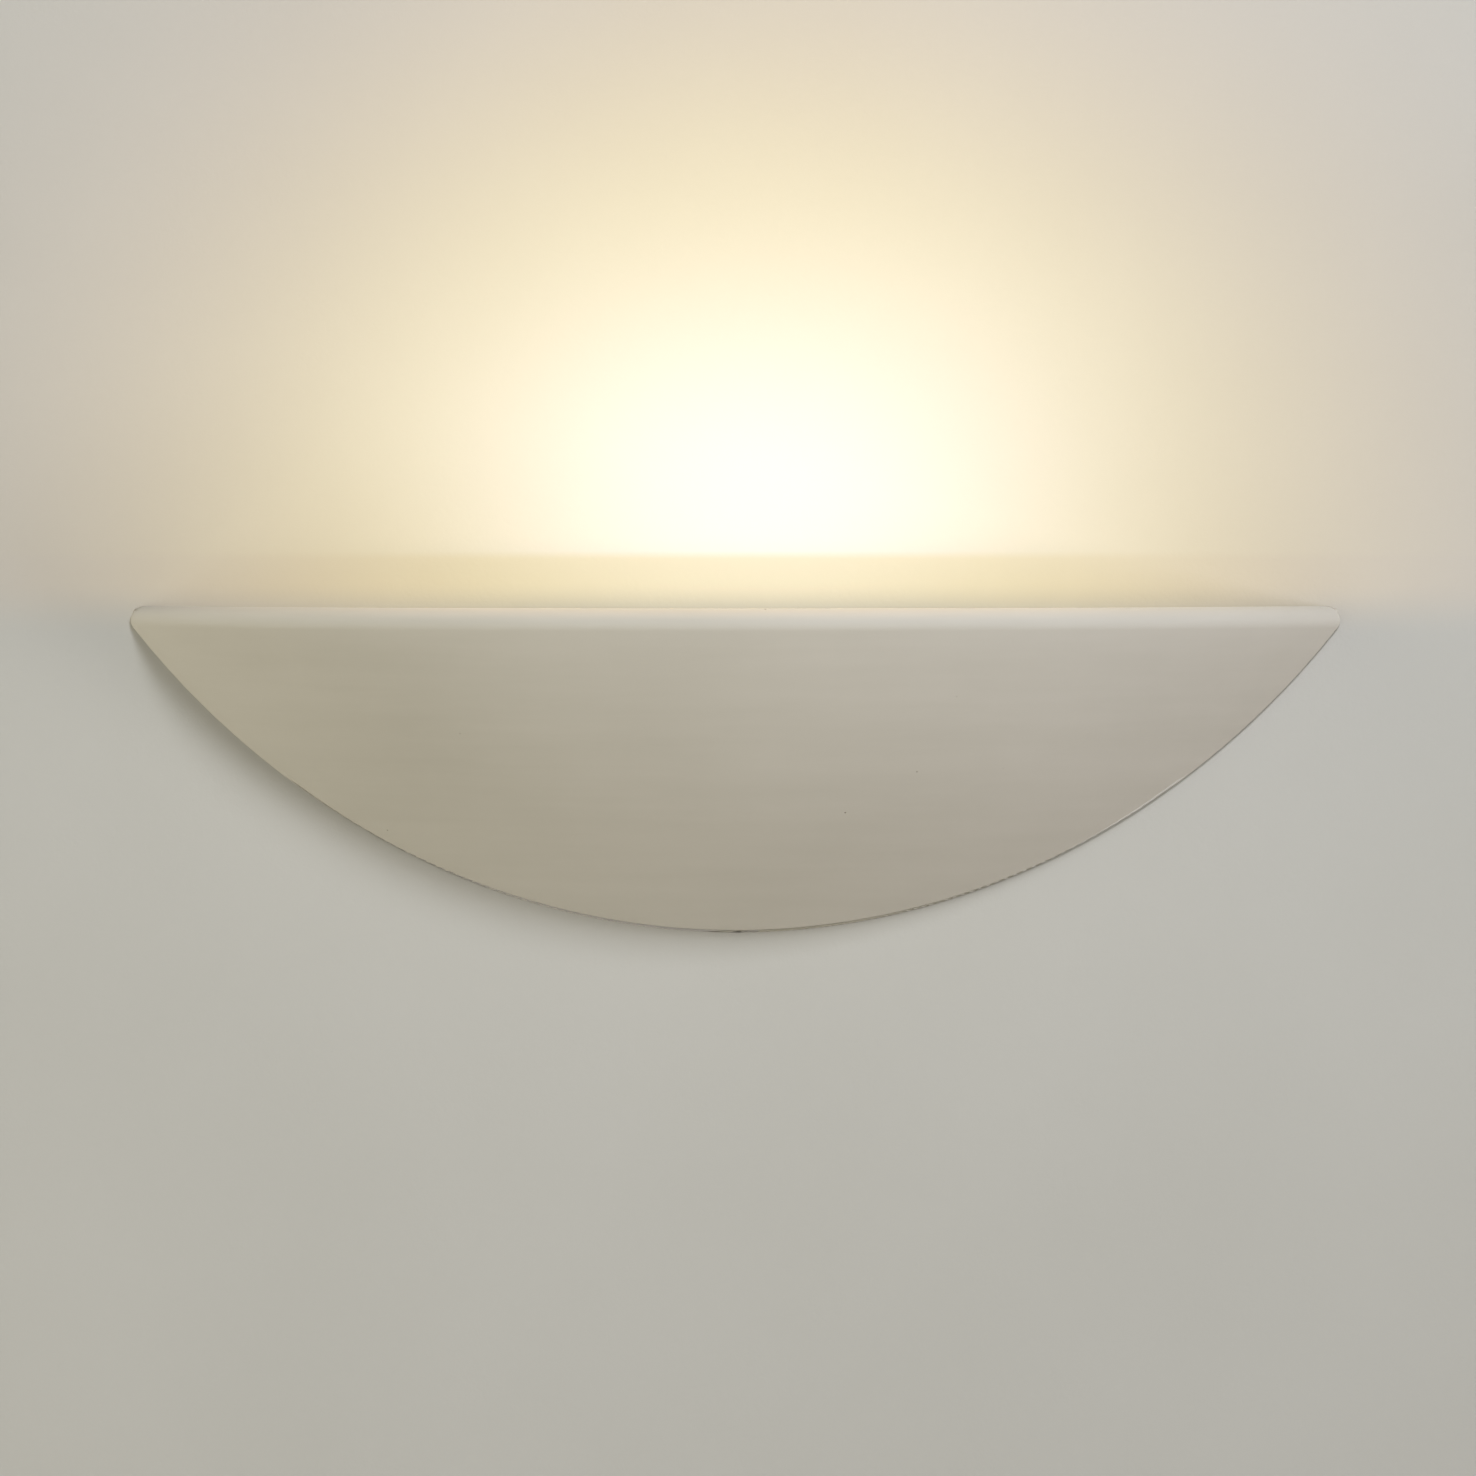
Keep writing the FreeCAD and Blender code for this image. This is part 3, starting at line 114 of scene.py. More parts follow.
def zinc_plate(name, dark, light, rough, cell):
    """Bright zinc on steel: faint crystal patches, a brushed grain and a slightly dull bloom."""
    finish, tree, shader, place = blank_finish(name)
    patches = add_node(tree, "ShaderNodeTexVoronoi", {"Vector": place}, Scale=cell)
    patch = add_node(tree, "ShaderNodeSeparateColor", {"Color": patches.outputs["Color"]})
    bloom = grain(tree, place, 60, 4)
    both = add_node(tree, "ShaderNodeMath", {0: patch.outputs["Red"], 1: bloom}, operation="MULTIPLY")
    tree.links.new(shades(tree, both.outputs[0], [(0.1, dark), (0.6, light)]), shader.inputs["Base Color"])
    brushed = grain(tree, place, 900, 2, 0.5, (1, 0.08, 0.08))
    tree.links.new(between(tree, brushed, rough - 0.07, rough + 0.1), shader.inputs["Roughness"])
    raised(tree, shader, brushed, 0.00002, 0.4)
    shader.inputs["Metallic"].default_value = 1.0
    return finish


def dress(node, finish):
    """Gives a CAD node its finish."""
    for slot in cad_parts[node].material_slots:
        slot.material = finish


plated_sheet = zinc_plate("zinc_plated_sheet", (0.50, 0.51, 0.53), (0.74, 0.75, 0.77), 0.34, 260)
dress("wall_bracket", plated_sheet)
turned_zinc = zinc_plate("zinc_plated_turned", (0.55, 0.55, 0.56), (0.78, 0.78, 0.80), 0.26, 700)
dress("rivet_nuts", turned_zinc)

# ------------------------------------------------------------------ cable grommet
# A soft black ring that snaps into the bracket's hole, so that the sheet's edge can't cut the cable.
# Moulded rubber with a dusty bloom.
def grommet_rubber():
    finish, tree, shader, place = blank_finish("grommet_rubber")
    dust = grain(tree, place, 350, 4)
    tree.links.new(shades(tree, dust, [(0.35, (0.016, 0.016, 0.017)), (0.75, (0.045, 0.044, 0.042))]),
                   shader.inputs["Base Color"])
    tree.links.new(between(tree, dust, 0.5, 0.75), shader.inputs["Roughness"])
    raised(tree, shader, grain(tree, place, 1800, 2), 0.00003, 0.5)
    return finish


dress("cable_grommet", grommet_rubber())

# ------------------------------------------------------------------ terminal block
# A glazed porcelain block with three brass tubes in it. Two small screws in each tube clamp the supply wire
# and the lamp lead, and one longer screw holds the block to the bracket.
def porcelain_glaze(name, low, high, rough):
    """Pressed technical ceramic: off-white, finely speckled, with a thin uneven glaze."""
    finish, tree, shader, place = blank_finish(name)
    mottle = grain(tree, place, 240, 5)
    tree.links.new(shades(tree, mottle, [(0.3, low), (0.7, high)]), shader.inputs["Base Color"])
    tree.links.new(between(tree, grain(tree, place, 500, 2), rough - 0.08, rough + 0.12),
                   shader.inputs["Roughness"])
    raised(tree, shader, grain(tree, place, 900, 3), 0.00004, 0.5)
    return finish


dress("terminal_block", porcelain_glaze("block_porcelain", (0.66, 0.64, 0.58), (0.78, 0.76, 0.71), 0.28))


def turned_metal(name, dark, light, rough, rings=2600):
    """Lathe-turned or drawn metal with fine tool marks and a little tarnish."""
    finish, tree, shader, place = blank_finish(name)
    tarnish = grain(tree, place, 300, 4)
    tree.links.new(shades(tree, tarnish, [(0.3, dark), (0.7, light)]), shader.inputs["Base Color"])
    tree.links.new(between(tree, tarnish, rough - 0.06, rough + 0.12), shader.inputs["Roughness"])
    raised(tree, shader, grain(tree, place, rings, 1), 0.00002, 0.35)
    shader.inputs["Metallic"].default_value = 1.0
    return finish


nickel_brass = turned_metal("nickel_on_brass", (0.60, 0.55, 0.46), (0.75, 0.70, 0.60), 0.28)
dress("terminal_tubes", nickel_brass)
screw_zinc = turned_metal("zinc_plated_screw", (0.52, 0.52, 0.53), (0.72, 0.72, 0.74), 0.3)
dress("terminal_screws", screw_zinc)
dress("terminal_block_screw", screw_zinc)

# ------------------------------------------------------------------ earth point
# A toothed washer, a crimped ring terminal and one screw that bond the bracket to the earth wire.
dress("earth_washer", screw_zinc)
dress("earth_lug", turned_metal("tinned_copper", (0.58, 0.56, 0.53), (0.78, 0.76, 0.73), 0.32))
dress("earth_screw", screw_zinc)

# ------------------------------------------------------------------ lamp bracket
# A thin U of zinc plated steel on the wall bracket's centre panel. Its arms carry the lampholders.
thin_sheet = zinc_plate("zinc_plated_thin_sheet", (0.53, 0.54, 0.55), (0.77, 0.78, 0.80), 0.3, 340)
dress("lamp_bracket", thin_sheet)
dress("lamp_bracket_screws", screw_zinc)

# ------------------------------------------------------------------ heat shield
# A folded trough of thin polished aluminium behind and under the lamp. It throws the light up the wall
# and keeps the heat off the plaster. Two spacer tubes and two long screws hold it off the bracket.
def rolled_aluminium():
    finish, tree, shader, place = blank_finish("rolled_aluminium")
    rolled = grain(tree, place, 700, 3, 0.6, (0.04, 1, 1))
    haze = grain(tree, place, 45, 4)
    tree.links.new(shades(tree, haze, [(0.3, (0.72, 0.73, 0.74)), (0.7, (0.88, 0.88, 0.89))]),
                   shader.inputs["Base Color"])
    tree.links.new(between(tree, rolled, 0.18, 0.34), shader.inputs["Roughness"])
    raised(tree, shader, rolled, 0.00002, 0.5)
    shader.inputs["Metallic"].default_value = 1.0
    return finish


dress("heat_shield", rolled_aluminium())
dress("shield_spacers", turned_zinc)
dress("shield_screws", screw_zinc)

# ------------------------------------------------------------------ nuts behind the panel
# Plain hexagon nuts, zinc plated, on the backs of the panel's screws.
dress("small_nuts", turned_zinc)
dress("large_nuts", turned_zinc)

# ------------------------------------------------------------------ lampholders
# Two pressed steatite blocks, each with an open cradle for the lamp's cap and a closed chamber for its contact.
# One screw and a captive nut hold each to its arm.
steatite = porcelain_glaze("steatite", (0.70, 0.68, 0.61), (0.82, 0.80, 0.74), 0.5)
dress("lampholder_left", steatite)
dress("lampholder_right", steatite)
dress("holder_screws", screw_zinc)
dress("holder_nuts", turned_zinc)

# ------------------------------------------------------------------ contacts
# Turned, nickel plated contacts, one fixed in the left holder and one sprung in the right, each backed
# by a disc that the lamp lead is crimped to.
contact_nickel = turned_metal("contact_nickel", (0.62, 0.60, 0.56), (0.80, 0.78, 0.74), 0.22)
for piece in ("contact_fixed", "contact_plunger", "contact_backings"):
    dress(piece, contact_nickel)

# ------------------------------------------------------------------ contact spring
# A small compression spring of stainless wire between the sprung contact's flange and its backing disc.
# Its end turns lie flat. The real spring shortens by 3 mm as the lamp pushes the contact in; here it is drawn
# at one length.
def smooth_piece(name, points, faces, finish, body, *nodes):
    """A mesh piece with a smooth surface that rides on a body and stands for CAD nodes."""
    mesh = bpy.data.meshes.new(name)
    mesh.from_pydata(points, [], faces)
    mesh.materials.append(finish)
    piece = bpy.data.objects.new(name, mesh)
    bpy.context.scene.collection.objects.link(piece)
    bm = bmesh.new()
    bm.from_mesh(mesh)
    bmesh.ops.remove_doubles(bm, verts=bm.verts, dist=1e-7)
    bmesh.ops.recalc_face_normals(bm, faces=bm.faces)
    bm.to_mesh(mesh)
    bm.free()
    mesh.polygons.foreach_set("use_smooth", [True] * len(mesh.polygons))
    if nodes:
        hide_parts(*nodes)
    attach(piece, body)
    return piece


def drawn_wire(line, radius, sides=10):
    """Points and faces of a round wire along a line of points, closed at both ends."""
    points, faces = [], []
    across = Vector((0, 0, 1))
    for i, point in enumerate(line):
        ahead = (line[min(i + 1, len(line) - 1)] - line[max(i - 1, 0)]).normalized()
        across = (across - ahead * across.dot(ahead)).normalized()
        other = ahead.cross(across)
        for k in range(sides):
            turn = 2 * math.pi * k / sides
            points.append(point + (across * math.cos(turn) + other * math.sin(turn)) * radius)
    for i in range(len(line) - 1):
        for k in range(sides):
            a, b = i * sides + k, i * sides + (k + 1) % sides
            faces.append((a, b, b + sides, a + sides))
    faces.append(tuple(range(sides)))
    faces.append(tuple(range((len(line) - 1) * sides, len(line) * sides)))
    return points, faces


spring_low, spring_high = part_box("contact_spring")
spring_wire = 0.00025           # radius of the wire
spring_radius = (spring_high.z - spring_low.z) / 2 - spring_wire
spring_axis = (spring_low + spring_high) / 2
spring_turns, flat_turns = 6.5, 1.0
flat_pitch = 2.1                # from turn to turn in the flat ends, in radii of the wire
turn_steps = 24
start = spring_low.x + spring_wire
room = spring_high.x - spring_low.x - 2 * spring_wire - 2 * flat_turns * flat_pitch * spring_wire
spring_line = []
for i in range(int(spring_turns * turn_steps) + 1):
    turn = i / turn_steps
    climb = min(max(turn - flat_turns, 0), spring_turns - 2 * flat_turns) / (spring_turns - 2 * flat_turns)
    closed = (min(turn, flat_turns) + max(turn - spring_turns + flat_turns, 0)) * flat_pitch * spring_wire
    angle = 2 * math.pi * turn
    spring_line.append(Vector((start + closed + climb * room, spring_axis.y + spring_radius * math.cos(angle),
                               spring_axis.z + spring_radius * math.sin(angle))))
spring_steel = turned_metal("stainless_wire", (0.42, 0.41, 0.40), (0.62, 0.61, 0.59), 0.25, 4000)
spring = smooth_piece("sprung_contact_spring", *drawn_wire(spring_line, spring_wire), spring_steel, "wall_unit",
                      "contact_spring")
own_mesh(spring)

# ------------------------------------------------------------------ lamp
# A 118 mm double-ended tungsten halogen lamp: a clear quartz tube with flat pinched ends in ceramic
# caps, a coiled filament along its middle and small wire rings that centre it.
def quartz():
    finish, tree, shader, place = blank_finish("quartz_tube")
    smoke = grain(tree, place, 120, 3)
    tree.links.new(shades(tree, smoke, [(0.3, (0.95, 0.96, 0.96)), (0.8, (1.0, 1.0, 1.0))]),
                   shader.inputs["Base Color"])
    tree.links.new(between(tree, smoke, 0.0, 0.04), shader.inputs["Roughness"])
    shader.inputs["Transmission Weight"].default_value = 1.0
    shader.inputs["IOR"].default_value = 1.46
    return finish


dress("lamp_tube", quartz())
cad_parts["lamp_tube"].visible_shadow = False
dress("lamp_caps", porcelain_glaze("lamp_cap_ceramic", (0.74, 0.72, 0.67), (0.84, 0.82, 0.78), 0.45))
dress("lamp_contacts", contact_nickel)


def glowing_tungsten():
    """The lit filament, with warmer and whiter patches along its wire at random."""
    finish, tree, shader, place = blank_finish("glowing_tungsten")
    heat = grain(tree, place, 500, 2)
    tree.links.new(shades(tree, heat, [(0.2, (1.0, 0.62, 0.28)), (0.8, (1.0, 0.80, 0.50))]),
                   shader.inputs["Emission Color"])
    shader.inputs["Base Color"].default_value = (0.35, 0.33, 0.30, 1)
    shader.inputs["Metallic"].default_value = 1.0
    shader.inputs["Roughness"].default_value = 0.4
    shader.inputs["Emission Strength"].default_value = 6.0
    return finish


coil_low, coil_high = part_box("filament")
coil_wire = 0.00016
coil_radius = (coil_high.z - coil_low.z) / 2 - coil_wire
coil_axis = (coil_low + coil_high) / 2
coil_pitch, tail = 0.00075, 0.003
coil_steps = 12
coil_line = [Vector((coil_low.x, coil_axis.y, coil_axis.z))]
coil_turns = (coil_high.x - coil_low.x - 2 * tail) / coil_pitch
for i in range(int(coil_turns * coil_steps) + 1):
    angle = 2 * math.pi * i / coil_steps
    coil_line.append(Vector((coil_low.x + tail + coil_pitch * i / coil_steps,
                             coil_axis.y + coil_radius * math.cos(angle),
                             coil_axis.z + coil_radius * math.sin(angle))))
coil_line.append(Vector((coil_high.x, coil_axis.y, coil_axis.z)))
coil = smooth_piece("filament_coil", *drawn_wire(coil_line, coil_wire, 6), glowing_tungsten(),
                    "lamp", "filament")
coil.visible_shadow = False
coil.visible_diffuse = False
support_wire = turned_metal("support_wire", (0.30, 0.29, 0.28), (0.48, 0.47, 0.45), 0.3)
dress("filament_supports", support_wire)
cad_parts["filament_supports"].visible_shadow = False

# ------------------------------------------------------------------ wires
# Stranded conductors in woven glass sleeves: white for the two lamp leads, and green with a yellow
# tracer for earth.
def woven_sleeve(name, ground, thread, stripe=None):
    """Glass yarn braided over a wire, two sets of fine threads that cross."""
    finish, tree, shader, place = blank_finish(name)
    weave = []
    for lean in ((1, 1, 0.6), (1, -1, -0.6)):
        turned = add_node(tree, "ShaderNodeMapping", {"Vector": place}, Rotation=lean)
        threads = add_node(tree, "ShaderNodeTexWave", {"Vector": turned.outputs["Vector"]}, Scale=520.0,
                           Distortion=0.6)
        weave.append(threads.outputs["Fac"])
    crossed = add_node(tree, "ShaderNodeMath", {0: weave[0], 1: weave[1]}, operation="MULTIPLY").outputs[0]
    colour = shades(tree, crossed, [(0.0, ground), (0.6, thread)])
    if stripe is not None:
        band = add_node(tree, "ShaderNodeTexWave", {"Vector": place}, Scale=60.0, Distortion=0.4)
        edge = between(tree, band.outputs["Fac"], 0, 1, 0.55, 0.6)
        tracer = add_node(tree, "ShaderNodeMix", {"Factor": edge}, data_type="RGBA")
        tree.links.new(colour, tracer.inputs[6])
        tracer.inputs[7].default_value = (*stripe, 1)
        colour = tracer.outputs[2]
    tree.links.new(colour, shader.inputs["Base Color"])
    tree.links.new(between(tree, crossed, 0.75, 0.55), shader.inputs["Roughness"])
    raised(tree, shader, crossed, 0.00012, 0.8)
    return finish


white_sleeve = woven_sleeve("white_glass_sleeve", (0.55, 0.54, 0.50), (0.78, 0.77, 0.73))
dress("live_wire", white_sleeve)
dress("neutral_wire", white_sleeve)
dress("earth_wire", woven_sleeve("earth_sleeve", (0.03, 0.16, 0.05), (0.07, 0.30, 0.10), (0.75, 0.62, 0.06)))

# ------------------------------------------------------------------ ceramic shell
# The bowl that shows: one slip-cast piece of unglazed stoneware, open at the back and the top, a slice
# of an egg-like dome 8 mm thick with a soft rolled lip. Two lugs inside it, pierced for the thumb
# screws, hang it up.
rim_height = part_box("ceramic_shell")[1].z
shell_wall = 0.008
axis_behind_wall = 0.13954      # upright axis of the dome, behind the wall
centre_above_rim = 0.1781
dome_centre = rim_height + centre_above_rim
dome_radius, dome_height = 0.2880, 0.3207      # across, and from its centre down
lip_radius, lip_inner_radius = 0.0045, 0.0015


def dome_point(inset, angle):
    """Point (radius, height) on the dome's profile, angle from straight down, and its outward normal."""
    a, b = dome_radius - inset, dome_height - inset
    point = Vector((a * math.sin(angle), dome_centre - b * math.cos(angle)))
    return point, Vector((math.sin(angle) / a, -math.cos(angle) / b)).normalized()


def solve(height_error, low, high):
    """Bisection for the angle at which a rising error is nought."""
    for _ in range(60):
        middle = (low + high) / 2
        if height_error(middle) < 0:
            low = middle
        else:
            high = middle
    return (low + high) / 2


def bowl_profile():
    """(radius, height) from the wall edge up the outside, over the lip and down the inside."""
    rows, lip_steps, inner_lip_steps = 64, 12, 6
    past_rim = 1.2                  # an angle above the rim, to search below

    def outer_lip_error(angle):
        point, normal = dome_point(0, angle)
        return (point - normal * lip_radius).y - (rim_height - lip_radius)

    def inner_lip_error(angle):
        point, normal = dome_point(shell_wall, angle)
        return (point + normal * lip_inner_radius).y - (rim_height - lip_inner_radius)

    outer_start = math.asin(axis_behind_wall / dome_radius)
    outer_end = solve(outer_lip_error, outer_start, past_rim)
    lip_from, lip_normal = dome_point(0, outer_end)
    lip_centre = lip_from - lip_normal * lip_radius
    inner_start = math.asin(axis_behind_wall / (dome_radius - shell_wall))
    inner_end = solve(inner_lip_error, inner_start, past_rim)
    inner_from, inner_normal = dome_point(shell_wall, inner_end)
    inner_centre = inner_from + inner_normal * lip_inner_radius

    def up_the_dome(inset, end):
        radius = dome_radius - inset
        last = math.acos(axis_behind_wall / (radius * math.sin(end)))
        turns = [last * i / rows for i in range(rows + 1)]
        angles = [math.asin(min(1, axis_behind_wall / math.cos(t) / radius)) for t in turns]
        return [dome_point(inset, t)[0] for t in angles]

    outside = up_the_dome(0, outer_end)
    lip_start = math.atan2(lip_normal.y, lip_normal.x)
    lip = [lip_centre + Vector((math.cos(t), math.sin(t))) * lip_radius
           for t in (lip_start + (math.pi / 2 - lip_start) * i / lip_steps
                     for i in range(1, lip_steps + 1))]
    inner_end_angle = math.atan2(-inner_normal.y, -inner_normal.x)
    inner_lip = [inner_centre + Vector((math.cos(t), math.sin(t))) * lip_inner_radius
                 for t in (math.pi / 2 + (inner_end_angle - math.pi / 2) * i / inner_lip_steps
                           for i in range(inner_lip_steps))]
    inside = up_the_dome(shell_wall, inner_end)[::-1]
    return outside, lip + inner_lip, inside


def bowl():
    outside, lip, inside = bowl_profile()
    rows = outside + lip + inside
    columns = 160
    points, faces = [], []
    for radius, height in rows:
        widest = math.acos(min(1, axis_behind_wall / radius))
        for k in range(columns + 1):
            turn = -widest + 2 * widest * k / columns
            points.append((radius * math.sin(turn), min(0, axis_behind_wall - radius * math.cos(turn)), height))
    wide = columns + 1
    for i in range(len(rows) - 1):
        for k in range(columns):
            a = i * wide + k
            faces.append((a, a + 1, a + 1 + wide, a + wide))
    first_inside = len(outside) + len(lip)
    last = len(rows) - 1
    for end in (0, columns):
        for i in range(len(outside) - 1):
            a, b = i * wide + end, (i + 1) * wide + end
            c, d = (last - i - 1) * wide + end, (last - i) * wide + end
            faces.append((a, b, c, d))
        faces.append(tuple(i * wide + end for i in range(len(outside) - 1, first_inside + 1)))
    return points, faces


def bisque():
    """Unglazed cream stoneware: fine tooth, soft mottling, faint sponge streaks and sparse pinholes."""
    finish, tree, shader, place = blank_finish("bisque_ceramic")
    cloud = grain(tree, place, 14, 4)
    streak = grain(tree, place, 90, 4, 0.6, (0.12, 0.12, 1.6))
    tooth = grain(tree, place, 1500, 3, 0.6)
    soft = add_node(tree, "ShaderNodeMath", {0: cloud, 1: streak}, operation="ADD").outputs[0]
    body = shades(tree, between(tree, soft, 0, 1, 0.7, 1.3),
                  [(0.0, (0.511, 0.486, 0.430)), (0.5, (0.530, 0.504, 0.448)), (1.0, (0.548, 0.521, 0.466))])
    cells = add_node(tree, "ShaderNodeTexVoronoi", {"Vector": place}, Scale=85.0)
    chosen = add_node(tree, "ShaderNodeSeparateColor", {"Color": cells.outputs["Color"]})
    few = between(tree, chosen.outputs["Red"], 0, 1, 0.72, 0.74)
    spot = between(tree, cells.outputs["Distance"], 1, 0, 0.012, 0.03)
    pinhole = add_node(tree, "ShaderNodeMath", {0: few, 1: spot}, operation="MULTIPLY").outputs[0]
    pitted = add_node(tree, "ShaderNodeMix", {"Factor": pinhole}, data_type="RGBA")
    tree.links.new(body, pitted.inputs[6])
    pitted.inputs[7].default_value = (0.20, 0.165, 0.12, 1)
    tree.links.new(pitted.outputs[2], shader.inputs["Base Color"])
    tree.links.new(between(tree, tooth, 0.72, 0.9), shader.inputs["Roughness"])
    fine = raised(tree, shader, tooth, 0.00005, 0.5)
    waves = raised(tree, shader, streak, 0.0002, 0.25, fine)
    raised(tree, shader, between(tree, pinhole, 1, 0), 0.0003, 0.8, waves)
    shader.inputs["Specular IOR Level"].default_value = 0.25
    return finish


bisque_finish = bisque()
shell = smooth_piece("bowl_shell", *bowl(), bisque_finish, "shell", "ceramic_shell")

sponged_edge = 0.0016


def sponge_wall_edge(mesh):
    """Rounds the outer edge of the bowl that lies on the wall."""
    bm = bmesh.new()
    bm.from_mesh(mesh)
    outer_edge = []
    for edge in bm.edges:
        if not edge.is_manifold or max(abs(v.co.y) for v in edge.verts) > 1e-6:
            continue
        if edge.calc_face_angle(0) < math.radians(30):
            continue
        middle = (edge.verts[0].co + edge.verts[1].co) / 2
        outward = sum((f.normal for f in edge.link_faces), Vector()).normalized()
        radial = Vector((middle.x, 0, middle.z - dome_centre)).normalized()
        if outward.dot(radial) > 0:
            outer_edge.append(edge)
    bmesh.ops.bevel(bm, geom=outer_edge, offset=sponged_edge, offset_type="WIDTH", segments=4, profile=0.5,
                    affect="EDGES")
    bm.to_mesh(mesh)
    bm.free()
    mesh.polygons.foreach_set("use_smooth", [True] * len(mesh.polygons))


sponge_wall_edge(shell.data)

lug_centre = Vector((0.098, 0.015))
lug_back, lug_front = -0.0088, -0.0178
lug_radius, lug_hole = 0.009, 0.0032
lug_edge_round = 0.0009
root_start, root_run, root_rise = 0.128, 0.032, 0.030   # its slanted root in the bowl's wall
hole_sides, root_steps = 32, 8


def lug(side):
    """Points and faces of one tongue: round about its hole, flared where it grows out of the bowl."""
    outline = [lug_centre + Vector((math.cos(t), math.sin(t))) * lug_radius
               for t in (math.radians(90 + 180 * i / 24) for i in range(25))]
    flare = [(0.107, 0.006), (0.1098, 0.0058), (0.1125, 0.0050), (0.119, 0.0024), (0.1225, 0.0008),
             (0.1262, 0.0)]
    outline += [Vector(p) for p in flare]
    outline += [Vector((root_start + root_run * i / root_steps, root_rise * i / root_steps))
                for i in range(root_steps + 1)]
    outline += [Vector((x, 2 * lug_centre.y - z)) for x, z in reversed(flare)]
    hole = [lug_centre + Vector((math.cos(t), math.sin(t))) * lug_hole
            for t in (2 * math.pi * i / hole_sides for i in range(hole_sides))]
    bm = bmesh.new()
    edges = []
    for loop in (outline, hole):
        ring = [bm.verts.new((side * p.x, lug_back, p.y)) for p in loop]
        edges += [bm.edges.new((ring[i], ring[(i + 1) % len(ring)])) for i in range(len(ring))]
    made = bmesh.ops.triangle_fill(bm, use_beauty=True, use_dissolve=True, edges=edges)
    flat = [g for g in made["geom"] if isinstance(g, bmesh.types.BMFace)]
    pushed = bmesh.ops.extrude_face_region(bm, geom=flat)
    for v in (g for g in pushed["geom"] if isinstance(g, bmesh.types.BMVert)):
        v.co.y = lug_front
    bmesh.ops.recalc_face_normals(bm, faces=bm.faces)
    rims = [e for e in bm.edges if e.is_manifold and e.calc_face_angle(0) > 1.2
            and abs(e.verts[0].co.y - e.verts[1].co.y) < 1e-6]
    bmesh.ops.bevel(bm, geom=rims, offset=lug_edge_round, segments=3, profile=0.5, affect="EDGES")
    mesh = bpy.data.meshes.new("lug")
    bm.to_mesh(mesh)
    bm.free()
    return mesh


for side, name in ((-1, "bowl_lug_left"), (1, "bowl_lug_right")):
    tongue_mesh = lug(side)
    tongue_mesh.materials.append(bisque_finish)
    tongue = bpy.data.objects.new(name, tongue_mesh)
    bpy.context.scene.collection.objects.link(tongue)
    tongue_mesh.set_sharp_from_angle(angle=math.radians(50))
    tongue_mesh.polygons.foreach_set("use_smooth", [True] * len(tongue_mesh.polygons))
    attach(tongue, "shell")

# ------------------------------------------------------------------ thumb screws and washers
# Knurled steel thumb screws, turned by hand from above, each with a fibre washer that keeps it off the ceramic.
thumb_steel = turned_metal("thumb_screw_steel", (0.50, 0.50, 0.51), (0.70, 0.70, 0.71), 0.24)
dress("thumb_screw_left", thumb_steel)
dress("thumb_screw_right", thumb_steel)


def pressed_fibre():
    finish, tree, shader, place = blank_finish("pressed_fibre")
    fibre = grain(tree, place, 1400, 4, 0.7, (1, 1, 0.3))
    tree.links.new(shades(tree, fibre, [(0.3, (0.20, 0.07, 0.045)), (0.7, (0.32, 0.13, 0.08))]),
                   shader.inputs["Base Color"])
    tree.links.new(between(tree, fibre, 0.6, 0.8), shader.inputs["Roughness"])
    raised(tree, shader, fibre, 0.00005, 0.6)
    return finish


dress("thumb_washers", pressed_fibre())

# ------------------------------------------------------------------ wall and floor
# A painted plaster wall that the piece hangs on and a pale floor below it. Neither belongs to the object.
# The lamp's glow on the wall and the heat shield's shadow in it are painted light, drawn in the wall's material
# as emission.
glow_x = 0.0083                         # the middle of the glow
painted_shield_shadow = (0.0648, 0.0672)        # heights over which the painted shadow of the heat shield ends
painted_rim_shade = (0.040, 0.058)              # heights over which the painted glow fades out, a painted shade in the gap behind the rim
past_shield = (0.93, 0.86, 0.55)        # what of each colour comes past the shield
# The painted glow in red, green and blue: height of its middle, its spread across and up, and its strength
glow_bells = ((0.0780, 0.154, 0.138, 0.605), (0.0775, 0.137, 0.119, 0.535), (0.0806, 0.095, 0.074, 0.463))


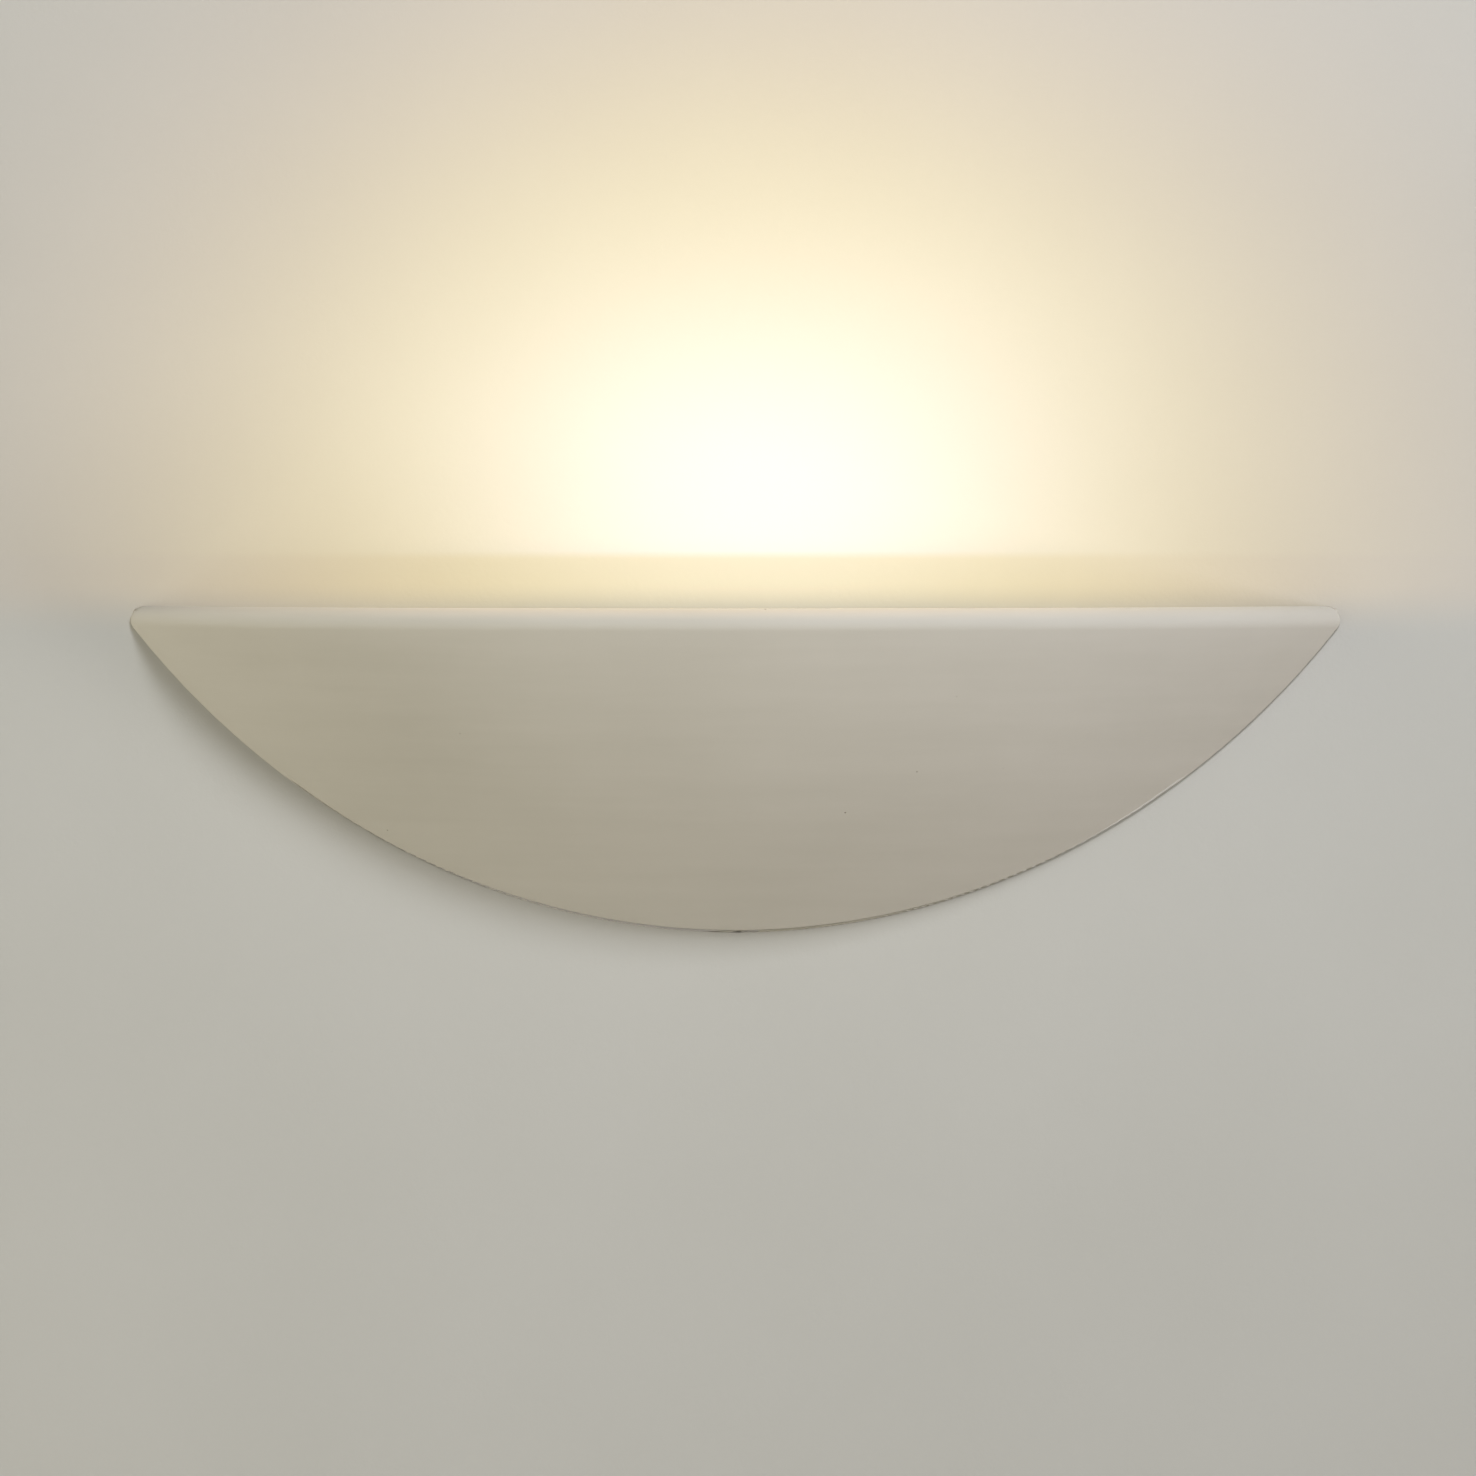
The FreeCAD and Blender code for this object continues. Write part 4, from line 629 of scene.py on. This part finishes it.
def painted_lamp_glow(tree, place, shader):
    """The lamp's light on the wall, painted into the wall's material as emission: white over the bowl's middle,
    warmer and dimmer away from it. A painted shadow of the heat shield cuts the bluest of it off along a level
    line, and it fades into the gap behind the rim as painted shade."""
    glow = []
    for centre_z, spread_x, spread_z, strength in glow_bells:
        around = add_node(tree, "ShaderNodeMapping", {"Vector": place}, Scale=(1 / spread_x, 0, 1 / spread_z),
                          Location=(-glow_x / spread_x, 0, -centre_z / spread_z))
        far = add_node(tree, "ShaderNodeVectorMath", {0: around.outputs["Vector"], 1: around.outputs["Vector"]},
                       operation="DOT_PRODUCT").outputs["Value"]
        falls = add_node(tree, "ShaderNodeMath", {1: far}, operation="POWER")
        falls.inputs[0].default_value = math.exp(-1)
        scaled = add_node(tree, "ShaderNodeMath", {0: falls.outputs[0]}, operation="MULTIPLY")
        scaled.inputs[1].default_value = strength
        glow.append(scaled.outputs[0])
    warm = add_node(tree, "ShaderNodeCombineColor", {"Red": glow[0], "Green": glow[1], "Blue": glow[2]})
    height = add_node(tree, "ShaderNodeSeparateXYZ", {"Vector": place}).outputs["Z"]
    # Painted shadow of the heat shield: below a level line only part of each colour of the glow is left.
    painted_shadow_tint = shades(tree, between(tree, height, 0, 1, *painted_shield_shadow), [(0.0, past_shield), (1.0, (1, 1, 1))])
    lit = add_node(tree, "ShaderNodeVectorMath", {0: warm.outputs[0], 1: painted_shadow_tint}, operation="MULTIPLY")
    tree.links.new(lit.outputs[0], shader.inputs["Emission Color"])
    # Painted shade: the glow fades out towards the gap behind the rim.
    fade = add_node(tree, "ShaderNodeMapRange", {"Value": height}, interpolation_type="SMOOTHSTEP")
    fade.inputs["From Min"].default_value, fade.inputs["From Max"].default_value = painted_rim_shade
    tree.links.new(fade.outputs["Result"], shader.inputs["Emission Strength"])


def painted_plaster():
    """Matt paint with a roller's faint stipple, with the lamp's glow painted on as emission. Seen from behind,
    the wall is not there.
    """
    finish, tree, shader, place = blank_finish("painted_plaster")
    stipple = grain(tree, place, 420, 4, 0.6)
    trowel = grain(tree, place, 9, 3)
    tree.links.new(shades(tree, trowel, [(0.3, (0.472, 0.465, 0.436)), (0.7, (0.488, 0.481, 0.454))]),
                   shader.inputs["Base Color"])
    shader.inputs["Roughness"].default_value = 0.9
    shader.inputs["Specular IOR Level"].default_value = 0.2
    raised(tree, shader, stipple, 0.0004, 0.3)
    painted_lamp_glow(tree, place, shader)
    clear = add_node(tree, "ShaderNodeBsdfTransparent")
    behind = tree.nodes.new("ShaderNodeNewGeometry").outputs["Backfacing"]
    one_sided = add_node(tree, "ShaderNodeMixShader", {0: behind, 1: shader.outputs[0], 2: clear.outputs[0]})
    tree.links.new(one_sided.outputs[0], tree.nodes["Material Output"].inputs["Surface"])
    return finish


def sheet_of_stage(name, corners, finish):
    mesh = bpy.data.meshes.new(name)
    mesh.from_pydata(corners, [], [(0, 1, 2, 3)])
    mesh.materials.append(finish)
    piece = bpy.data.objects.new(name, mesh)
    bpy.context.scene.collection.objects.link(piece)
    return piece


stage_half, wall_top, floor_level = 3, 3, -1.6
floor_front, floor_back = -4, 3
wall_face = 0.0002              # just behind the bowl's back edge
wall = sheet_of_stage("plaster_wall", [(-stage_half, wall_face, floor_level),
                                       (stage_half, wall_face, floor_level),
                                       (stage_half, wall_face, wall_top),
                                       (-stage_half, wall_face, wall_top)], painted_plaster())
wall.visible_shadow = False


def pale_floor():
    finish, tree, shader, place = blank_finish("pale_floor")
    drift = grain(tree, place, 3, 3)
    tree.links.new(shades(tree, drift, [(0.3, (0.60, 0.59, 0.57)), (0.7, (0.64, 0.63, 0.61))]),
                   shader.inputs["Base Color"])
    shader.inputs["Roughness"].default_value = 0.8
    return finish


sheet_of_stage("floor", [(-stage_half, floor_front, floor_level), (stage_half, floor_front, floor_level),
                         (stage_half, floor_back, floor_level), (-stage_half, floor_back, floor_level)],
               pale_floor())

# ------------------------------------------------------------------ camera
# A long lens straight in front of the piece, a little above the level of its rim.
lens = bpy.data.cameras.new("camera")
lens.sensor_width = 36.0
lens.lens = 194.5
camera_place, camera_aim = (0.0008, -2.5, 0.0705), (0.0008, 0, 0.0086)
camera = bpy.data.objects.new("camera", lens)
bpy.context.scene.collection.objects.link(camera)
camera.location = camera_place
aim = Vector(camera_aim) - camera.location
camera.rotation_euler = aim.to_track_quat("-Z", "Y").to_euler()
bpy.context.scene.camera = camera

# ------------------------------------------------------------------ light
# A small light high in front, a broad one far to the right, a warm one on the left and one behind the
# piece. A warm one flat on the wall stands for the light that the lit plaster gives back to the rim,
# and the lamp's own light comes from points along its filament.
world = bpy.data.worlds.new("room")
bpy.context.scene.world = world
world.use_nodes = True
tree = world.node_tree
ambient = tree.nodes["Background"]
ambient.inputs["Color"].default_value = (0.90, 0.92, 1.0, 1)
ambient.inputs["Strength"].default_value = 0.113
backdrop = add_node(tree, "ShaderNodeBackground", Color=(0.80, 0.80, 0.79, 1), Strength=0.9)
seen = tree.nodes.new("ShaderNodeLightPath")
direct = add_node(tree, "ShaderNodeMath", {0: seen.outputs["Is Camera Ray"], 1: seen.outputs["Is Glossy Ray"]},
                  operation="MAXIMUM")
either = add_node(tree, "ShaderNodeMath", {0: direct.outputs[0], 1: seen.outputs["Is Transmission Ray"]},
                  operation="MAXIMUM")
shown = add_node(tree, "ShaderNodeMixShader",
                 {0: either.outputs[0], 1: ambient.outputs[0], 2: backdrop.outputs[0]})
tree.links.new(shown.outputs[0], tree.nodes["World Output"].inputs["Surface"])


def soft_light(name, place, target, side, power, colour):
    light = bpy.data.lights.new(name, "AREA")
    light.size = side
    light.energy = power
    light.color = colour
    lamp = bpy.data.objects.new(name, light)
    bpy.context.scene.collection.objects.link(lamp)
    lamp.location = place
    lamp.rotation_euler = (Vector(target) - Vector(place)).to_track_quat("-Z", "Y").to_euler()
    lamp.visible_camera = False


soft_light("window", (0.251, -0.855, 0.654), (0, 0, 0), 0.2, 7.31, (0.915, 0.951, 1.0))
soft_light("far_window", (3.571, -1.663, -0.695), (0, 0, 0), 1.1, 65.1, (1.0, 0.963, 0.953))
soft_light("warm_wall", (-1.279, -0.925, -0.264), (0, 0, 0), 1.95, 18.6, (1.0, 0.949, 0.758))
soft_light("behind", (1.2, 2.2, 0.9), (0, 0, 0), 1.6, 28, (1.0, 0.98, 0.96))
soft_light("lit_wall", (0, -0.002, 0.55), (0, -1, 0.55), 0.4, 7.5, (1.0, 0.72, 0.4))

tube_low, tube_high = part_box("lamp_tube")
tube_middle = (tube_low + tube_high) / 2
filament_lights, light_spacing, filament_power = 5, 0.018, 0.25
for i in range(filament_lights):
    bulb = bpy.data.lights.new("filament_light_%d" % i, "POINT")
    bulb.energy = filament_power
    bulb.color = (1.0, 0.86, 0.62)
    bulb.shadow_soft_size = 0.003
    bulb.use_nodes = True
    falloff = add_node(bulb.node_tree, "ShaderNodeLightFalloff", Strength=1.0, Smooth=0.0)
    emission = bulb.node_tree.nodes["Emission"]
    bulb.node_tree.links.new(falloff.outputs["Linear"], emission.inputs["Strength"])
    lamp = bpy.data.objects.new("filament_light_%d" % i, bulb)
    bpy.context.scene.collection.objects.link(lamp)
    lamp.location = (tube_middle.x + (i - filament_lights // 2) * light_spacing, tube_middle.y, tube_middle.z)

bpy.context.scene.view_settings.view_transform = "Standard"
